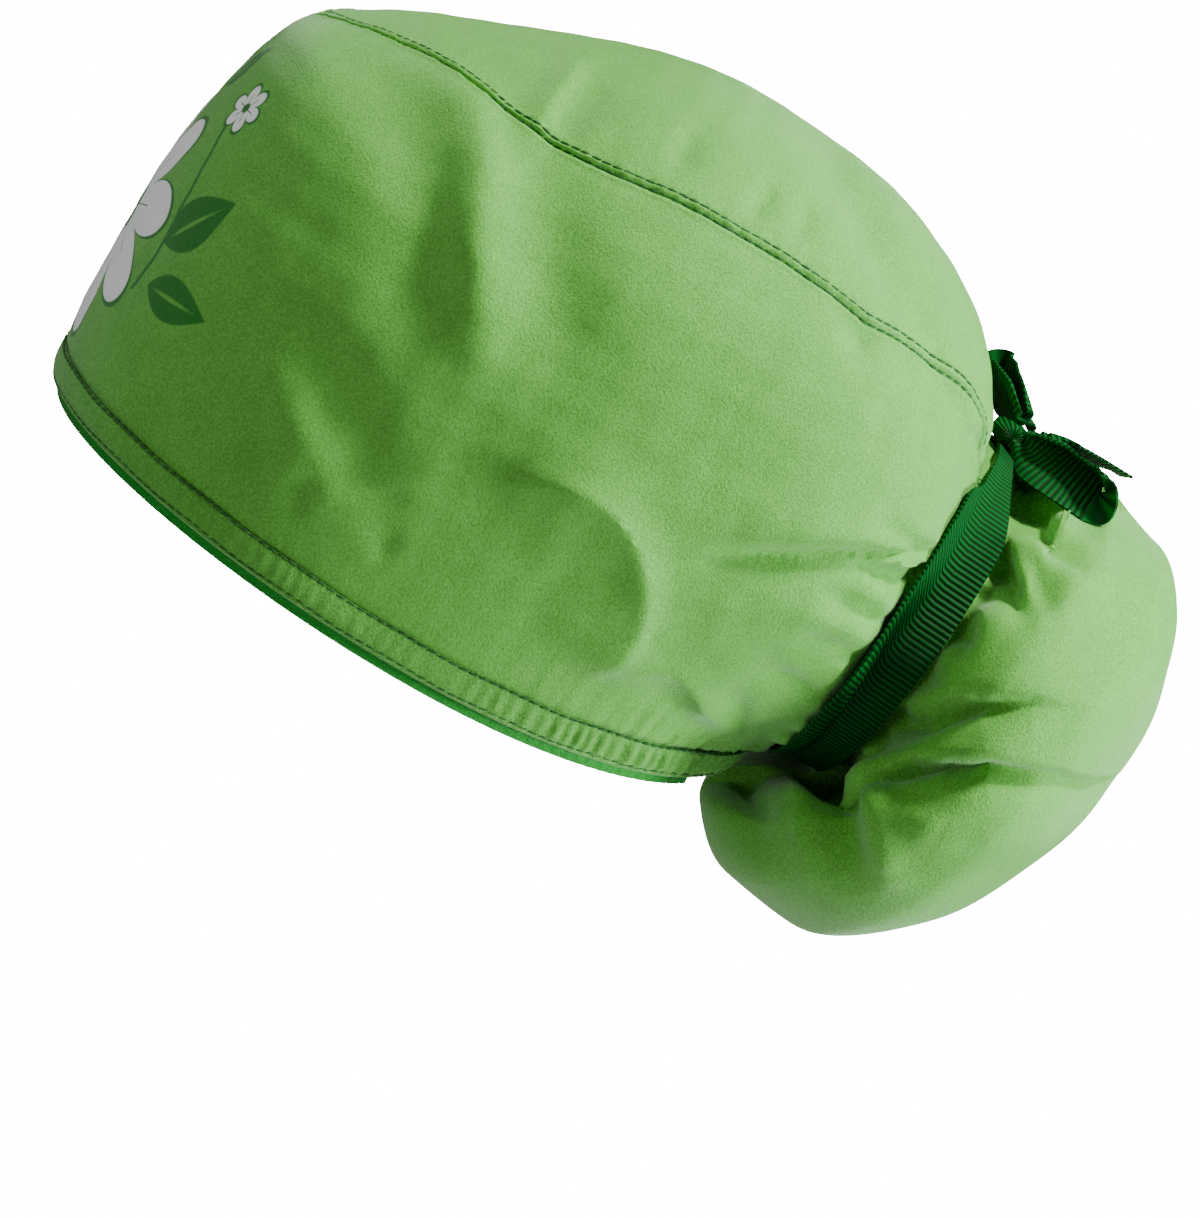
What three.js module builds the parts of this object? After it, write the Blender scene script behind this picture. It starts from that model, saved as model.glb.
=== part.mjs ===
import * as THREE from "three";

// Surgical scrub cap with a gathered pouch for a ponytail, in the form it has on a head.
// Millimetres. +X is the wearer's left, +Y is the back of the head, +Z is up.
// The origin is the point inside the crown where the top of the head bears.
//
// The crown is a fan of oval sections. They all turn about a line behind the nape: the first
// section is the hem, the last is the mouth where the pouch is sewn on. A place on the crown
// is an angle round its section (0 at the front or top, 180 at the nape) and a turn, which is
// the share of the fan from the hem (0) to the mouth (1).

// Cloth and gaps
const clothWall = 1.5; // wall of one panel of cloth
const seamGap = 0.3; // space between two pieces that are sewn edge to edge
const layerGap = 0.35; // space between two layers that lie on each other

// Crown
const hemLength = 200; // nape to forehead along the hem
const hemTilt = 30.6; // rise of the hem's plane from the nape to the forehead, in degrees
const hemDip = 6.5; // how far the hem hangs below that plane over the ears
const fanAngle = 93.8; // turn from the hem's plane to the mouth's plane, in degrees
const headHalfWidth = 80; // centre plane to the widest part of the cap's side
const vertexSetForward = 51; // nape line to the top of the head, measured forwards

// Hem and sweatband
const hemHeight = 8; // stitched casing round the edge
const hemWall = 2.2; // casing of folded cloth round its elastic
const hemRise = 0.3; // how far the casing stands proud of the panel
const puckerHeight = 0.5; // ripples of the casing at the back
const sweatbandHeight = 12; // tape inside the front of the hem
const sweatbandShow = 2.6; // how much of the tape shows below the hem
const sweatbandWall = 1.2;
const sweatbandReach = 152; // angle from the front where the tape ends, in degrees

// Pouch
const pouchDepth = 70; // mouth to the far end of the pouch
const pouchHalfHeight = 66; // half of the pouch's long way, from top to nape
const pouchHalfWidth = 70; // centre plane to the side of the pouch
const pleatDepth = 9; // deepest pleat at the mouth of the pouch

// Tie ribbon and bow
const ribbonWidth = 15;
const ribbonWall = 1.0;
const ribbonSlack = 0.85; // space under the ribbon over the puckered cloth
const ribbonOnCrown = 7.5; // part of the ribbon's width that lies on the crown
const knotWidth = 13; // knot, from side to side
const knotLength = 12; // along the mouth's axis
const knotThickness = 7;
const knotOut = 1.5; // mouth's plane to the knot's middle
const loopLength = 40; // knot to the far bend of a loop
const tailLength = 36;

// Folds
const foldDepth = 3; // deepest fold in the crown's panels
const gatherDepth = 1.6; // puckers where the crown is gathered to the pouch
const gatherReach = 14; // how far the puckers run into the panel

// Colours and finishes
const clothGreen = new THREE.MeshStandardMaterial({ color: 0x7fbf6a, roughness: 0.8, metalness: 0 });
const hemGreen = new THREE.MeshStandardMaterial({ color: 0x77b363, roughness: 0.85, metalness: 0 });
const tapeGreen = new THREE.MeshStandardMaterial({ color: 0x14862a, roughness: 0.7, metalness: 0 });
const ribbonGreen = new THREE.MeshStandardMaterial({ color: 0x0a6b3c, roughness: 0.5, metalness: 0 });

// Sections of the crown: turn, reach from the nape line (share of hemLength), half width
// (share of headHalfWidth) and squareness (2 is an ellipse).
const crownSections = [
  { turn: 0, reach: 1.0, halfWidth: 0.97, square: 2.2 },
  { turn: 0.12, reach: 1.034, halfWidth: 0.99, square: 2.2 },
  { turn: 0.22, reach: 1.068, halfWidth: 1.0, square: 2.25 },
  { turn: 0.295, reach: 1.08, halfWidth: 1.0, square: 2.3 },
  { turn: 0.345, reach: 1.047, halfWidth: 1.0, square: 2.3 },
  { turn: 0.45, reach: 0.951, halfWidth: 1.0, square: 2.25 },
  { turn: 0.55, reach: 0.888, halfWidth: 0.98, square: 2.2 },
  { turn: 0.68, reach: 0.792, halfWidth: 0.93, square: 2.15 },
  { turn: 0.8, reach: 0.697, halfWidth: 0.85, square: 2.1 },
  { turn: 0.9, reach: 0.606, halfWidth: 0.73, square: 2.05 },
  { turn: 0.94, reach: 0.552, halfWidth: 0.615, square: 2 },
  { turn: 0.975, reach: 0.496, halfWidth: 0.595, square: 2 },
  { turn: 1, reach: 0.49, halfWidth: 0.59, square: 2 },
];

// Seam between the side panel and the crown panel, from the front to the mouth.
const seamLine = [
  { share: 0, angle: 0, turn: 0.31 },
  { share: 0.07, angle: 9, turn: 0.324 },
  { share: 0.16, angle: 18, turn: 0.35 },
  { share: 0.26, angle: 28, turn: 0.383 },
  { share: 0.36, angle: 38, turn: 0.418 },
  { share: 0.46, angle: 45, turn: 0.465 },
  { share: 0.56, angle: 50, turn: 0.535 },
  { share: 0.66, angle: 53, turn: 0.62 },
  { share: 0.76, angle: 54, turn: 0.72 },
  { share: 0.85, angle: 48, turn: 0.815 },
  { share: 0.93, angle: 40, turn: 0.91 },
  { share: 1, angle: 32, turn: 1 },
];

// Sections of the pouch beyond its neck, as a share of the way to its far end (along). Its wall
// is depth from the mouth at the sides, atTop and atNape further there (shares of pouchDepth).
// Drop and halfHeight are shares of pouchHalfHeight, halfWidth of pouchHalfWidth.
const pouchSections = [
  { along: 0.13, depth: 0.128, atTop: 0.027, atNape: -0.005, drop: 0, halfHeight: 0.716, halfWidth: 0.735 },
  { along: 0.19, depth: 0.165, atTop: 0.055, atNape: -0.165, drop: 0.005, halfHeight: 0.775, halfWidth: 0.82 },
  { along: 0.26, depth: 0.22, atTop: 0.105, atNape: -0.356, drop: 0.067, halfHeight: 0.842, halfWidth: 0.9 },
  { along: 0.34, depth: 0.3, atTop: 0.11, atNape: -0.45, drop: 0.136, halfHeight: 0.909, halfWidth: 0.96 },
  { along: 0.44, depth: 0.42, atTop: 0.1, atNape: -0.377, drop: 0.236, halfHeight: 0.969, halfWidth: 0.99 },
  { along: 0.55, depth: 0.575, atTop: 0.078, atNape: -0.232, drop: 0.262, halfHeight: 0.959, halfWidth: 0.95 },
  { along: 0.67, depth: 0.725, atTop: 0.092, atNape: -0.1, drop: 0.228, halfHeight: 0.793, halfWidth: 0.81 },
  { along: 0.79, depth: 0.842, atTop: 0.071, atNape: -0.035, drop: 0.18, halfHeight: 0.553, halfWidth: 0.59 },
  { along: 0.9, depth: 0.94, atTop: 0.038, atNape: -0.01, drop: 0.129, halfHeight: 0.29, halfWidth: 0.33 },
  { along: 1, depth: 1, atTop: 0, atNape: 0, drop: 0.09, halfHeight: 0, halfWidth: 0 },
];

// Pleats of the pouch: the angle and half width of the valley, in degrees, its depth (share of
// pleatDepth) and how far it runs along the pouch's wall from the neck.
const pouchPleats = [
  { angle: 24, halfWidth: 8, depth: 0.9, reach: 0.42 },
  { angle: 48, halfWidth: 7, depth: 0.8, reach: 0.38 },
  { angle: 68, halfWidth: 6, depth: 0.5, reach: 0.3 },
  { angle: 88, halfWidth: 7, depth: 0.6, reach: 0.5 },
  { angle: 108, halfWidth: 7, depth: 0.6, reach: 0.6 },
  { angle: 132, halfWidth: 9, depth: 0.8, reach: 0.5 },
  { angle: 152, halfWidth: 7, depth: 1.0, reach: 0.42 },
  { angle: 170, halfWidth: 6, depth: 0.9, reach: 0.36 },
  { angle: -14, halfWidth: 8, depth: 0.8, reach: 0.36 },
  { angle: -38, halfWidth: 8, depth: 0.9, reach: 0.42 },
  { angle: -62, halfWidth: 7, depth: 0.7, reach: 0.36 },
  { angle: -84, halfWidth: 7, depth: 0.6, reach: 0.5 },
  { angle: -106, halfWidth: 8, depth: 0.7, reach: 0.55 },
  { angle: -128, halfWidth: 8, depth: 0.8, reach: 0.45 },
  { angle: -150, halfWidth: 7, depth: 0.9, reach: 0.4 },
];

// Folds of the crown, seen from the side: a line from one point to another, in shares of
// hemLength behind (back) and above (up) the top of the head, its half width (share of
// hemLength) and its height (share of foldDepth, negative for a valley). A step is high on
// its upper side and low on its lower side.
const crownFolds = [
  { side: 1, fromBack: -0.11, fromUp: -0.12, toBack: -0.11, toUp: -0.36, halfWidth: 0.045, height: 0.8, step: 0 },
  { side: 1, fromBack: 0.14, fromUp: -0.6, toBack: 0.42, toUp: -0.65, halfWidth: 0.05, height: 1, step: 1 },
  { side: 1, fromBack: 0.1, fromUp: -0.84, toBack: 0.18, toUp: -0.93, halfWidth: 0.04, height: 0.7, step: 0 },
  { side: 1, fromBack: 0.34, fromUp: -0.13, toBack: 0.42, toUp: -0.3, halfWidth: 0.04, height: -0.7, step: 0 },
  { side: 1, fromBack: -0.03, fromUp: -0.1, toBack: 0.08, toUp: -0.03, halfWidth: 0.035, height: 0.7, step: 0 },
  { side: -1, fromBack: -0.08, fromUp: -0.14, toBack: -0.1, toUp: -0.38, halfWidth: 0.045, height: 0.7, step: 0 },
  { side: -1, fromBack: 0.16, fromUp: -0.55, toBack: 0.42, toUp: -0.6, halfWidth: 0.05, height: 0.9, step: 1 },
  { side: -1, fromBack: 0.08, fromUp: -0.82, toBack: 0.16, toUp: -0.92, halfWidth: 0.04, height: 0.7, step: 0 },
  { side: -1, fromBack: 0.32, fromUp: -0.12, toBack: 0.42, toUp: -0.3, halfWidth: 0.04, height: -0.7, step: 0 },
];

// Near loop, far loop and tails of the bow: points of the ribbon's middle line from the knot's
// middle, in shares of loopLength: to the wearer's left, out along the mouth's axis, and up.
const nearLoop = [
  { left: 0.175, out: 0.08, up: 0.01 },
  { left: 0.26, out: 0.14, up: 0.03 },
  { left: 0.42, out: 0.29, up: 0.01 },
  { left: 0.52, out: 0.42, up: -0.01 },
  { left: 0.54, out: 0.5, up: 0.04 },
  { left: 0.46, out: 0.44, up: 0.1 },
  { left: 0.3, out: 0.27, up: 0.13 },
  { left: 0.175, out: 0.13, up: 0.1 },
];
const farLoop = [
  { left: -0.18, out: -0.02, up: 0.05 },
  { left: -0.3, out: 0.0, up: 0.12 },
  { left: -0.46, out: 0.02, up: 0.14 },
  { left: -0.58, out: 0.0, up: 0.14 },
  { left: -0.61, out: -0.07, up: 0.16 },
  { left: -0.5, out: -0.15, up: 0.21 },
  { left: -0.34, out: -0.14, up: 0.19 },
  { left: -0.18, out: -0.07, up: 0.1 },
];
const nearTail = [
  { left: -0.02, out: 0.17, up: 0.08 },
  { left: -0.1, out: 0.36, up: 0.14 },
  { left: -0.14, out: 0.58, up: 0.16 },
  { left: -0.14, out: 0.8, up: 0.16 },
];
const farTail = [
  { left: -0.14, out: 0.15, up: 0.02 },
  { left: -0.31, out: 0.3, up: 0.045 },
  { left: -0.47, out: 0.47, up: 0.062 },
  { left: -0.58, out: 0.62, up: 0.055 },
];

// Mesh density
const halfSteps = 36; // columns round half of the cap
const seamSteps = 22; // how many of them meet the seam
const panelRows = 11;
const crownColumns = 10;
const pouchColumns = 64;
const pouchRows = [0, 0.04, 0.08, 0.13, 0.19, 0.26, 0.34, 0.42, 0.5, 0.58, 0.67, 0.76, 0.85, 0.93, 1];
const hemColumns = 96;
const tapeSteps = 60;
const ribbonColumns = 48;
const loopSteps = 14;
const pleatCount = 22; // puckers round the crown's mouth

// Shares from 0 to 1, closer together near 1 where crowd is over 1.
const shares = (steps, crowd = 1) =>
  Array.from({ length: steps + 1 }, (_, i) => 1 - Math.pow(1 - i / steps, crowd));

const fanRadians = THREE.MathUtils.degToRad(fanAngle);
const ribbonOnPouch = ribbonWidth - ribbonOnCrown;

// Radius of the fan's inner edge: the nape strip holds the casing, the ribbon's seat and gaps.
const napeStrip = hemHeight + ribbonOnCrown + 2 * seamGap + 1.5;
const napeRadius = napeStrip / fanRadians;

// The row of a table at a place between its rows: each column follows a curve with no
// overshoot.
function sample(rows, key, at) {
  const keys = rows.map((row) => row[key]);
  const x = THREE.MathUtils.clamp(at, keys[0], keys[keys.length - 1]);
  let i = 0;
  while (i < keys.length - 2 && x > keys[i + 1]) i += 1;
  const h = keys[i + 1] - keys[i];
  const s = (x - keys[i]) / h;
  const found = {};
  for (const column of Object.keys(rows[0])) {
    const y = rows.map((row) => row[column]);
    const slope = (k) => {
      if (k === 0) return (y[1] - y[0]) / (keys[1] - keys[0]);
      const last = y.length - 1;
      if (k === last) return (y[last] - y[last - 1]) / (keys[last] - keys[last - 1]);
      const before = (y[k] - y[k - 1]) / (keys[k] - keys[k - 1]);
      const after = (y[k + 1] - y[k]) / (keys[k + 1] - keys[k]);
      return before * after > 0 ? (2 * before * after) / (before + after) : 0;
    };
    const s2 = s * s;
    const s3 = s2 * s;
    found[column] =
      (2 * s3 - 3 * s2 + 1) * y[i] +
      (s3 - 2 * s2 + s) * h * slope(i) +
      (3 * s2 - 2 * s3) * y[i + 1] +
      (s3 - s2) * h * slope(i + 1);
  }
  return found;
}

// Direction of a section's plane, out from the nape line.
function fanDirection(turn) {
  const up = Math.PI - THREE.MathUtils.degToRad(hemTilt) - turn * fanRadians;
  return new THREE.Vector3(0, Math.cos(up), Math.sin(up));
}

// Cosine and sine of an oval of the given squareness, with the angle as a polar angle.
function oval(angle, square) {
  const c = Math.cos(angle);
  const s = Math.sin(angle);
  const size = Math.pow(Math.pow(Math.abs(c), square) + Math.pow(Math.abs(s), square), 1 / square);
  return { long: c / size, wide: s / size };
}

// A point of the crown's smooth outer surface, from the nape line. The angle is in radians.
function crownPoint(angle, turn) {
  const section = sample(crownSections, "turn", turn);
  const { long, wide } = oval(angle, section.square);
  const far = section.reach * hemLength;
  const out = napeRadius + ((far - napeRadius) * (1 + long)) / 2;
  const point = fanDirection(turn).multiplyScalar(out);
  point.x = section.halfWidth * headHalfWidth * wide;
  return point;
}

// The outward normal of a surface given as a function of two values.
function normalOf(surface, u, v, flip = 1) {
  const du = 0.01;
  const dv = 0.002;
  const alongU = surface(u + du, v).sub(surface(u - du, v));
  const alongV = surface(u, v + dv).sub(surface(u, v - dv));
  return alongU.cross(alongV).normalize().multiplyScalar(flip);
}

const crownNormal = (angle, turn) => normalOf(crownPoint, angle, Math.min(turn, 0.997), 1);

// Millimetres of the crown's surface for one unit of turn, and for one radian of angle.
function crownScale(angle, turn) {
  const t = Math.min(turn, 0.99);
  return {
    turn: crownPoint(angle, t + 0.005).distanceTo(crownPoint(angle, t - 0.005)) / 0.01,
    angle: crownPoint(angle + 0.01, t).distanceTo(crownPoint(angle - 0.01, t)) / 0.02,
  };
}

// The place of the top of the head, from the nape line, on the crown's inner surface.
function vertexPlace() {
  let low = 0.2;
  let high = 0.8;
  for (let i = 0; i < 40; i += 1) {
    const middle = (low + high) / 2;
    const inner = crownPoint(0, middle).addScaledVector(crownNormal(0, middle), -clothWall);
    if (inner.y < -vertexSetForward) low = middle;
    else high = middle;
  }
  return crownPoint(0, low).addScaledVector(crownNormal(0, low), -clothWall);
}
const vertex = vertexPlace();

// Height of the folds over the crown's smooth surface.
function foldHeight(point) {
  const back = (point.y - vertex.y) / hemLength;
  const up = (point.z - vertex.z) / hemLength;
  let height = 0;
  for (const fold of crownFolds) {
    if (fold.side * point.x < 0) continue;
    const runBack = fold.toBack - fold.fromBack;
    const runUp = fold.toUp - fold.fromUp;
    const length = Math.hypot(runBack, runUp);
    const along = ((back - fold.fromBack) * runBack + (up - fold.fromUp) * runUp) / length;
    const across = ((up - fold.fromUp) * runBack - (back - fold.fromBack) * runUp) / length;
    const outside = Math.max(0, -along, along - length) / fold.halfWidth;
    const offset = across / fold.halfWidth;
    const fade = Math.exp(-outside * outside - offset * offset);
    const shape = fold.step ? offset * 1.6 : 1;
    height += fold.height * foldDepth * fade * shape;
  }
  const nearCentre = Math.min(1, Math.abs(point.x) / (0.3 * headHalfWidth));
  return height * nearCentre;
}

// Puckers at the crown's mouth: valleys only, so that the ribbon lies over them.
function gatherHeight(angle, turn) {
  const distance = (1 - turn) * crownScale(angle, turn).turn;
  const wave = 0.5 - 0.5 * Math.cos(pleatCount * angle + 1.4 * Math.sin(3 * angle));
  return -gatherDepth * wave * Math.exp(-Math.pow(distance / gatherReach, 2));
}

// The crown's outer surface with its folds, or the surface some millimetres under it.
function crownCloth(angle, turn, depth) {
  const smooth = crownPoint(angle, turn);
  const edge = THREE.MathUtils.smoothstep(turn, 0.02, 0.12) * (1 - THREE.MathUtils.smoothstep(turn, 0.84, 0.93));
  const lift = foldHeight(smooth) * edge + gatherHeight(angle, turn);
  return smooth.addScaledVector(crownNormal(angle, turn), lift - depth);
}

// Shares of the seam where both panels have a point, so that their edges run side by side.
const seamShares = shares(seamSteps, 1.3);

// Turn of the line that lies a given number of millimetres above the hem's edge.
function turnFromHem(angle, distance) {
  const steps = 12;
  const dip = hemDip * Math.pow(Math.sin(angle), 2) * (1 - 0.4 * Math.cos(angle));
  let turn = -dip / crownScale(angle, 0.01).turn;
  for (let i = 0; i < steps; i += 1) turn += distance / steps / crownScale(angle, turn).turn;
  return turn;
}

// A place on the seam, moved sideways by some millimetres: positive is towards the side panel.
function seamPlace(share, aside) {
  const here = sample(seamLine, "share", share);
  const step = 0.01;
  const next = sample(seamLine, "share", Math.min(1, share + step));
  const last = sample(seamLine, "share", Math.max(0, share - step));
  const angle = THREE.MathUtils.degToRad(here.angle);
  const scale = crownScale(angle, here.turn);
  const runAngle = THREE.MathUtils.degToRad(next.angle - last.angle) * scale.angle;
  const runTurn = (next.turn - last.turn) * scale.turn;
  const run = Math.hypot(runAngle, runTurn);
  return {
    angle: angle + (aside * runTurn) / run / scale.angle,
    turn: here.turn - (aside * runAngle) / run / scale.turn,
  };
}

// One closed solid between two grids of points, each a list of rows. Round grids close from
// their last column to their first.
function solidBetween(outer, inner, round) {
  const points = [];
  const index = new Map();
  const id = (p) => {
    const key = [p.x, p.y, p.z].map((n) => Math.round(n * 1e4)).join(",");
    if (!index.has(key)) {
      index.set(key, points.length / 3);
      points.push(p.x, p.y, p.z);
    }
    return index.get(key);
  };
  const faces = [];
  const triangle = (a, b, c) => {
    if (a !== b && b !== c && c !== a) faces.push(a, b, c);
  };
  const quad = (a, b, c, d) => {
    triangle(a, b, c);
    triangle(a, c, d);
  };
  const out = outer.map((row) => row.map(id));
  const inn = inner.map((row) => row.map(id));
  const rows = out.length;
  const columns = out[0].length;
  const lastColumn = round ? columns : columns - 1;
  for (let j = 0; j < lastColumn; j += 1) {
    const k = (j + 1) % columns;
    for (let i = 0; i < rows - 1; i += 1) {
      quad(out[i][j], out[i][k], out[i + 1][k], out[i + 1][j]);
      quad(inn[i][j], inn[i + 1][j], inn[i + 1][k], inn[i][k]);
    }
    quad(out[0][j], inn[0][j], inn[0][k], out[0][k]);
    quad(out[rows - 1][j], out[rows - 1][k], inn[rows - 1][k], inn[rows - 1][j]);
  }
  if (!round) {
    for (let i = 0; i < rows - 1; i += 1) {
      quad(out[i][0], out[i + 1][0], inn[i + 1][0], inn[i][0]);
      const e = columns - 1;
      quad(out[i][e], inn[i][e], inn[i + 1][e], out[i + 1][e]);
    }
  }
  const geometry = new THREE.BufferGeometry();
  geometry.setAttribute("position", new THREE.Float32BufferAttribute(points, 3));
  geometry.setIndex(faces);
  geometry.computeVertexNormals();
  return geometry;
}

// A grid of points: at(row share, column number), with one row for each share.
const grid = (rows, columns, at) =>
  rows.map((share) => Array.from({ length: columns }, (_, column) => at(share, column)));

function named(name, geometry, material) {
  const mesh = new THREE.Mesh(geometry, material);
  mesh.name = name;
  return mesh;
}

// Side panels: a left and a right strip from the hem up to the seam, and at the back to the
// mouth. They meet at the front and at the nape.
const mouthTurn = (angle) => 1 - seamGap / 2 / crownScale(angle, 1).turn;
function sidePlace(up, step) {
  const bottomAngle = (Math.PI * step) / halfSteps;
  const bottomTurn = turnFromHem(bottomAngle, hemHeight + seamGap / 2);
  const corner = seamPlace(1, seamGap / 2).angle;
  const pastSeam = Math.max(0, step - seamSteps) / (halfSteps - seamSteps);
  const top =
    step <= seamSteps
      ? seamPlace(seamShares[step], seamGap / 2)
      : { angle: THREE.MathUtils.lerp(corner, Math.PI, pastSeam), turn: 1 };
  const topTurn = Math.min(top.turn, mouthTurn(top.angle));
  return {
    angle: THREE.MathUtils.lerp(bottomAngle, top.angle, Math.pow(up, 1.6)),
    turn: THREE.MathUtils.lerp(bottomTurn, topTurn, up),
  };
}
function sidePanel(name, side) {
  const skin = (depth) =>
    grid(shares(panelRows, 1.6), halfSteps + 1, (up, column) => {
      const step = side > 0 ? column : halfSteps - column;
      const place = sidePlace(up, step);
      const point = crownCloth(side * place.angle, place.turn, depth);
      if (step === 0 || step === halfSteps) point.x = (side * seamGap) / 2;
      return point;
    });
  return named(name, solidBetween(skin(0), skin(clothWall), false), clothGreen);
}

// Crown panel: the long oval over the top, from the front seam to the mouth.
function crownPanel() {
  const skin = (depth) =>
    grid(seamShares, crownColumns + 1, (along, column) => {
      const edge = seamPlace(along, -seamGap / 2);
      const angle = edge.angle * ((2 * column) / crownColumns - 1);
      return crownCloth(angle, Math.min(edge.turn, mouthTurn(angle)), depth);
    });
  return named("crown_panel", solidBetween(skin(0), skin(clothWall), false), clothGreen);
}

// Hem casing: a folded band with elastic in it, puckered where the elastic pulls at the back.
function hemBand() {
  const skin = (depth) =>
    grid(shares(2), hemColumns, (up, column) => {
      const angle = (2 * Math.PI * column) / hemColumns;
      const turn = turnFromHem(angle, up * (hemHeight - seamGap / 2));
      const atBack = THREE.MathUtils.smoothstep(-Math.cos(angle), 0, 0.5);
      const pucker = puckerHeight * atBack * Math.sin((Math.PI * column) / 2);
      const bulge = hemRise + 0.5 * Math.sin(Math.PI * up) + pucker * Math.sin(Math.PI * up);
      return crownPoint(angle, turn).addScaledVector(crownNormal(angle, turn), bulge - depth);
    });
  return named("hem_band", solidBetween(skin(0), skin(hemWall), true), hemGreen);
}

// Sweatband: a knitted tape inside the front of the hem, showing a little below it.
function sweatband() {
  const reach = THREE.MathUtils.degToRad(sweatbandReach);
  const layer = hemWall - hemRise + layerGap;
  const skin = (depth) =>
    grid(shares(2), tapeSteps + 1, (up, column) => {
      const angle = reach * ((2 * column) / tapeSteps - 1);
      const height = up * sweatbandHeight - sweatbandShow;
      const turn = turnFromHem(angle, Math.max(0, height));
      const below = fanDirection(turn).cross(new THREE.Vector3(-1, 0, 0));
      const place = crownPoint(angle, turn).addScaledVector(below, Math.max(0, -height));
      return place.addScaledVector(crownNormal(angle, turn), -layer - depth);
    });
  return named("sweatband", solidBetween(skin(0), skin(sweatbandWall), false), tapeGreen);
}

// The mouth: its centre, its outward axis and the direction from its top to the nape.
const mouthSection = sample(crownSections, "turn", 1);
const mouthUp = fanDirection(1);
const mouthAxis = new THREE.Vector3(1, 0, 0).cross(mouthUp).negate();
const mouthFar = mouthSection.reach * hemLength;
const mouthHalfHeight = (mouthFar - napeRadius) / 2;
const mouthHalfWidth = mouthSection.halfWidth * headHalfWidth;
const mouthCentre = mouthUp.clone().multiplyScalar((mouthFar + napeRadius) / 2);

// Sections of the pouch from the mouth: its straight neck under the ribbon, then the table.
const neck = {
  along: 0,
  depth: 0,
  atTop: 0,
  atNape: 0,
  drop: 0,
  halfHeight: mouthHalfHeight / pouchHalfHeight,
  halfWidth: mouthHalfWidth / pouchHalfWidth,
};
const neckEnd = { ...neck, along: 0.08, depth: ribbonOnPouch / pouchDepth };
const pouchRowsTable = [neck, neckEnd, ...pouchSections];

// A point of the pouch's smooth outer surface. The angle is 0 at the top and PI at the nape.
function pouchPoint(angle, along) {
  const row = sample(pouchRowsTable, "along", along);
  const up = row.halfHeight * Math.cos(angle) - row.drop;
  const toTop = Math.pow(Math.max(0, Math.cos(angle)), 1.5);
  const toNape = Math.pow(Math.max(0, -Math.cos(angle)), 2);
  const point = mouthCentre.clone();
  const depth = row.depth + row.atTop * toTop + row.atNape * toNape;
  point.addScaledVector(mouthAxis, depth * pouchDepth);
  point.addScaledVector(mouthUp, up * pouchHalfHeight);
  point.x += row.halfWidth * pouchHalfWidth * Math.sin(angle);
  return point;
}
function pouchNormal(angle, along) {
  const nearEnd = THREE.MathUtils.smoothstep(along, 0.94, 1);
  const normal = normalOf(pouchPoint, angle, THREE.MathUtils.clamp(along, 0.002, 0.96));
  return normal.lerp(mouthAxis, nearEnd).normalize();
}

// Depth of the pleats under the pouch's smooth surface, less under the ribbon.
function pleatHeight(angle, along) {
  const degrees = THREE.MathUtils.radToDeg(angle);
  const open = THREE.MathUtils.smoothstep(along, 0.08, 0.2);
  let height = 0;
  for (const pleat of pouchPleats) {
    const turn = ((degrees - pleat.angle + 540) % 360) - 180;
    const offset = turn / pleat.halfWidth;
    const fade = THREE.MathUtils.smoothstep(pleat.reach - along, 0, pleat.reach * 0.8);
    height -= pleat.depth * pleatDepth * open * fade * Math.exp(-offset * offset);
  }
  const wave = 0.5 - 0.5 * Math.cos(pleatCount * angle + 1.4 * Math.sin(3 * angle));
  return height - gatherDepth * wave * Math.exp(-Math.pow(along / 0.14, 2));
}

// Pouch: a closed bag gathered to the mouth of the crown.
function pouch() {
  const start = seamGap / 2;
  const skin = (depth) =>
    grid(pouchRows, pouchColumns, (along, column) => {
      const angle = (2 * Math.PI * column) / pouchColumns;
      const lift = pleatHeight(angle, along) - depth;
      const point = pouchPoint(angle, along).addScaledVector(pouchNormal(angle, along), lift);
      return along === 0 ? point.addScaledVector(mouthAxis, start) : point;
    });
  return named("pony_pouch", solidBetween(skin(0), skin(clothWall), true), clothGreen);
}

// Tie ribbon: a band round the neck, bunched where it comes to the knot.
function tieRibbon() {
  const skin = (lift) =>
    grid(shares(4), ribbonColumns, (across, column) => {
      const angle = (2 * Math.PI * column) / ribbonColumns;
      const open = THREE.MathUtils.smoothstep(1 - Math.cos(angle), 0.01, 0.4);
      const width = THREE.MathUtils.lerp(0.45, 1, open);
      const offset = (across * ribbonWidth - ribbonOnCrown) * width;
      const onPouch = Math.max(0, offset) / pouchDepth;
      const turn = 1 - Math.max(0, -offset) / crownScale(angle, 0.98).turn;
      const point = crownPoint(angle, turn).addScaledVector(mouthAxis, onPouch * pouchDepth);
      return point.addScaledVector(crownNormal(angle, Math.min(turn, 0.996)), ribbonSlack + lift);
    });
  return named("tie_ribbon", solidBetween(skin(ribbonWall), skin(0), true), ribbonGreen);
}

// The bow's own directions: left, out along the mouth's axis, and up.
const knotLift = mouthHalfHeight + ribbonSlack + ribbonWall + layerGap + knotThickness / 2;
const knotCentre = mouthCentre.clone().addScaledVector(mouthUp, knotLift).addScaledVector(mouthAxis, knotOut);
const bowDirection = (left, out, up) =>
  new THREE.Vector3(left, 0, 0).addScaledVector(mouthAxis, out).addScaledVector(mouthUp, up);

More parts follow.
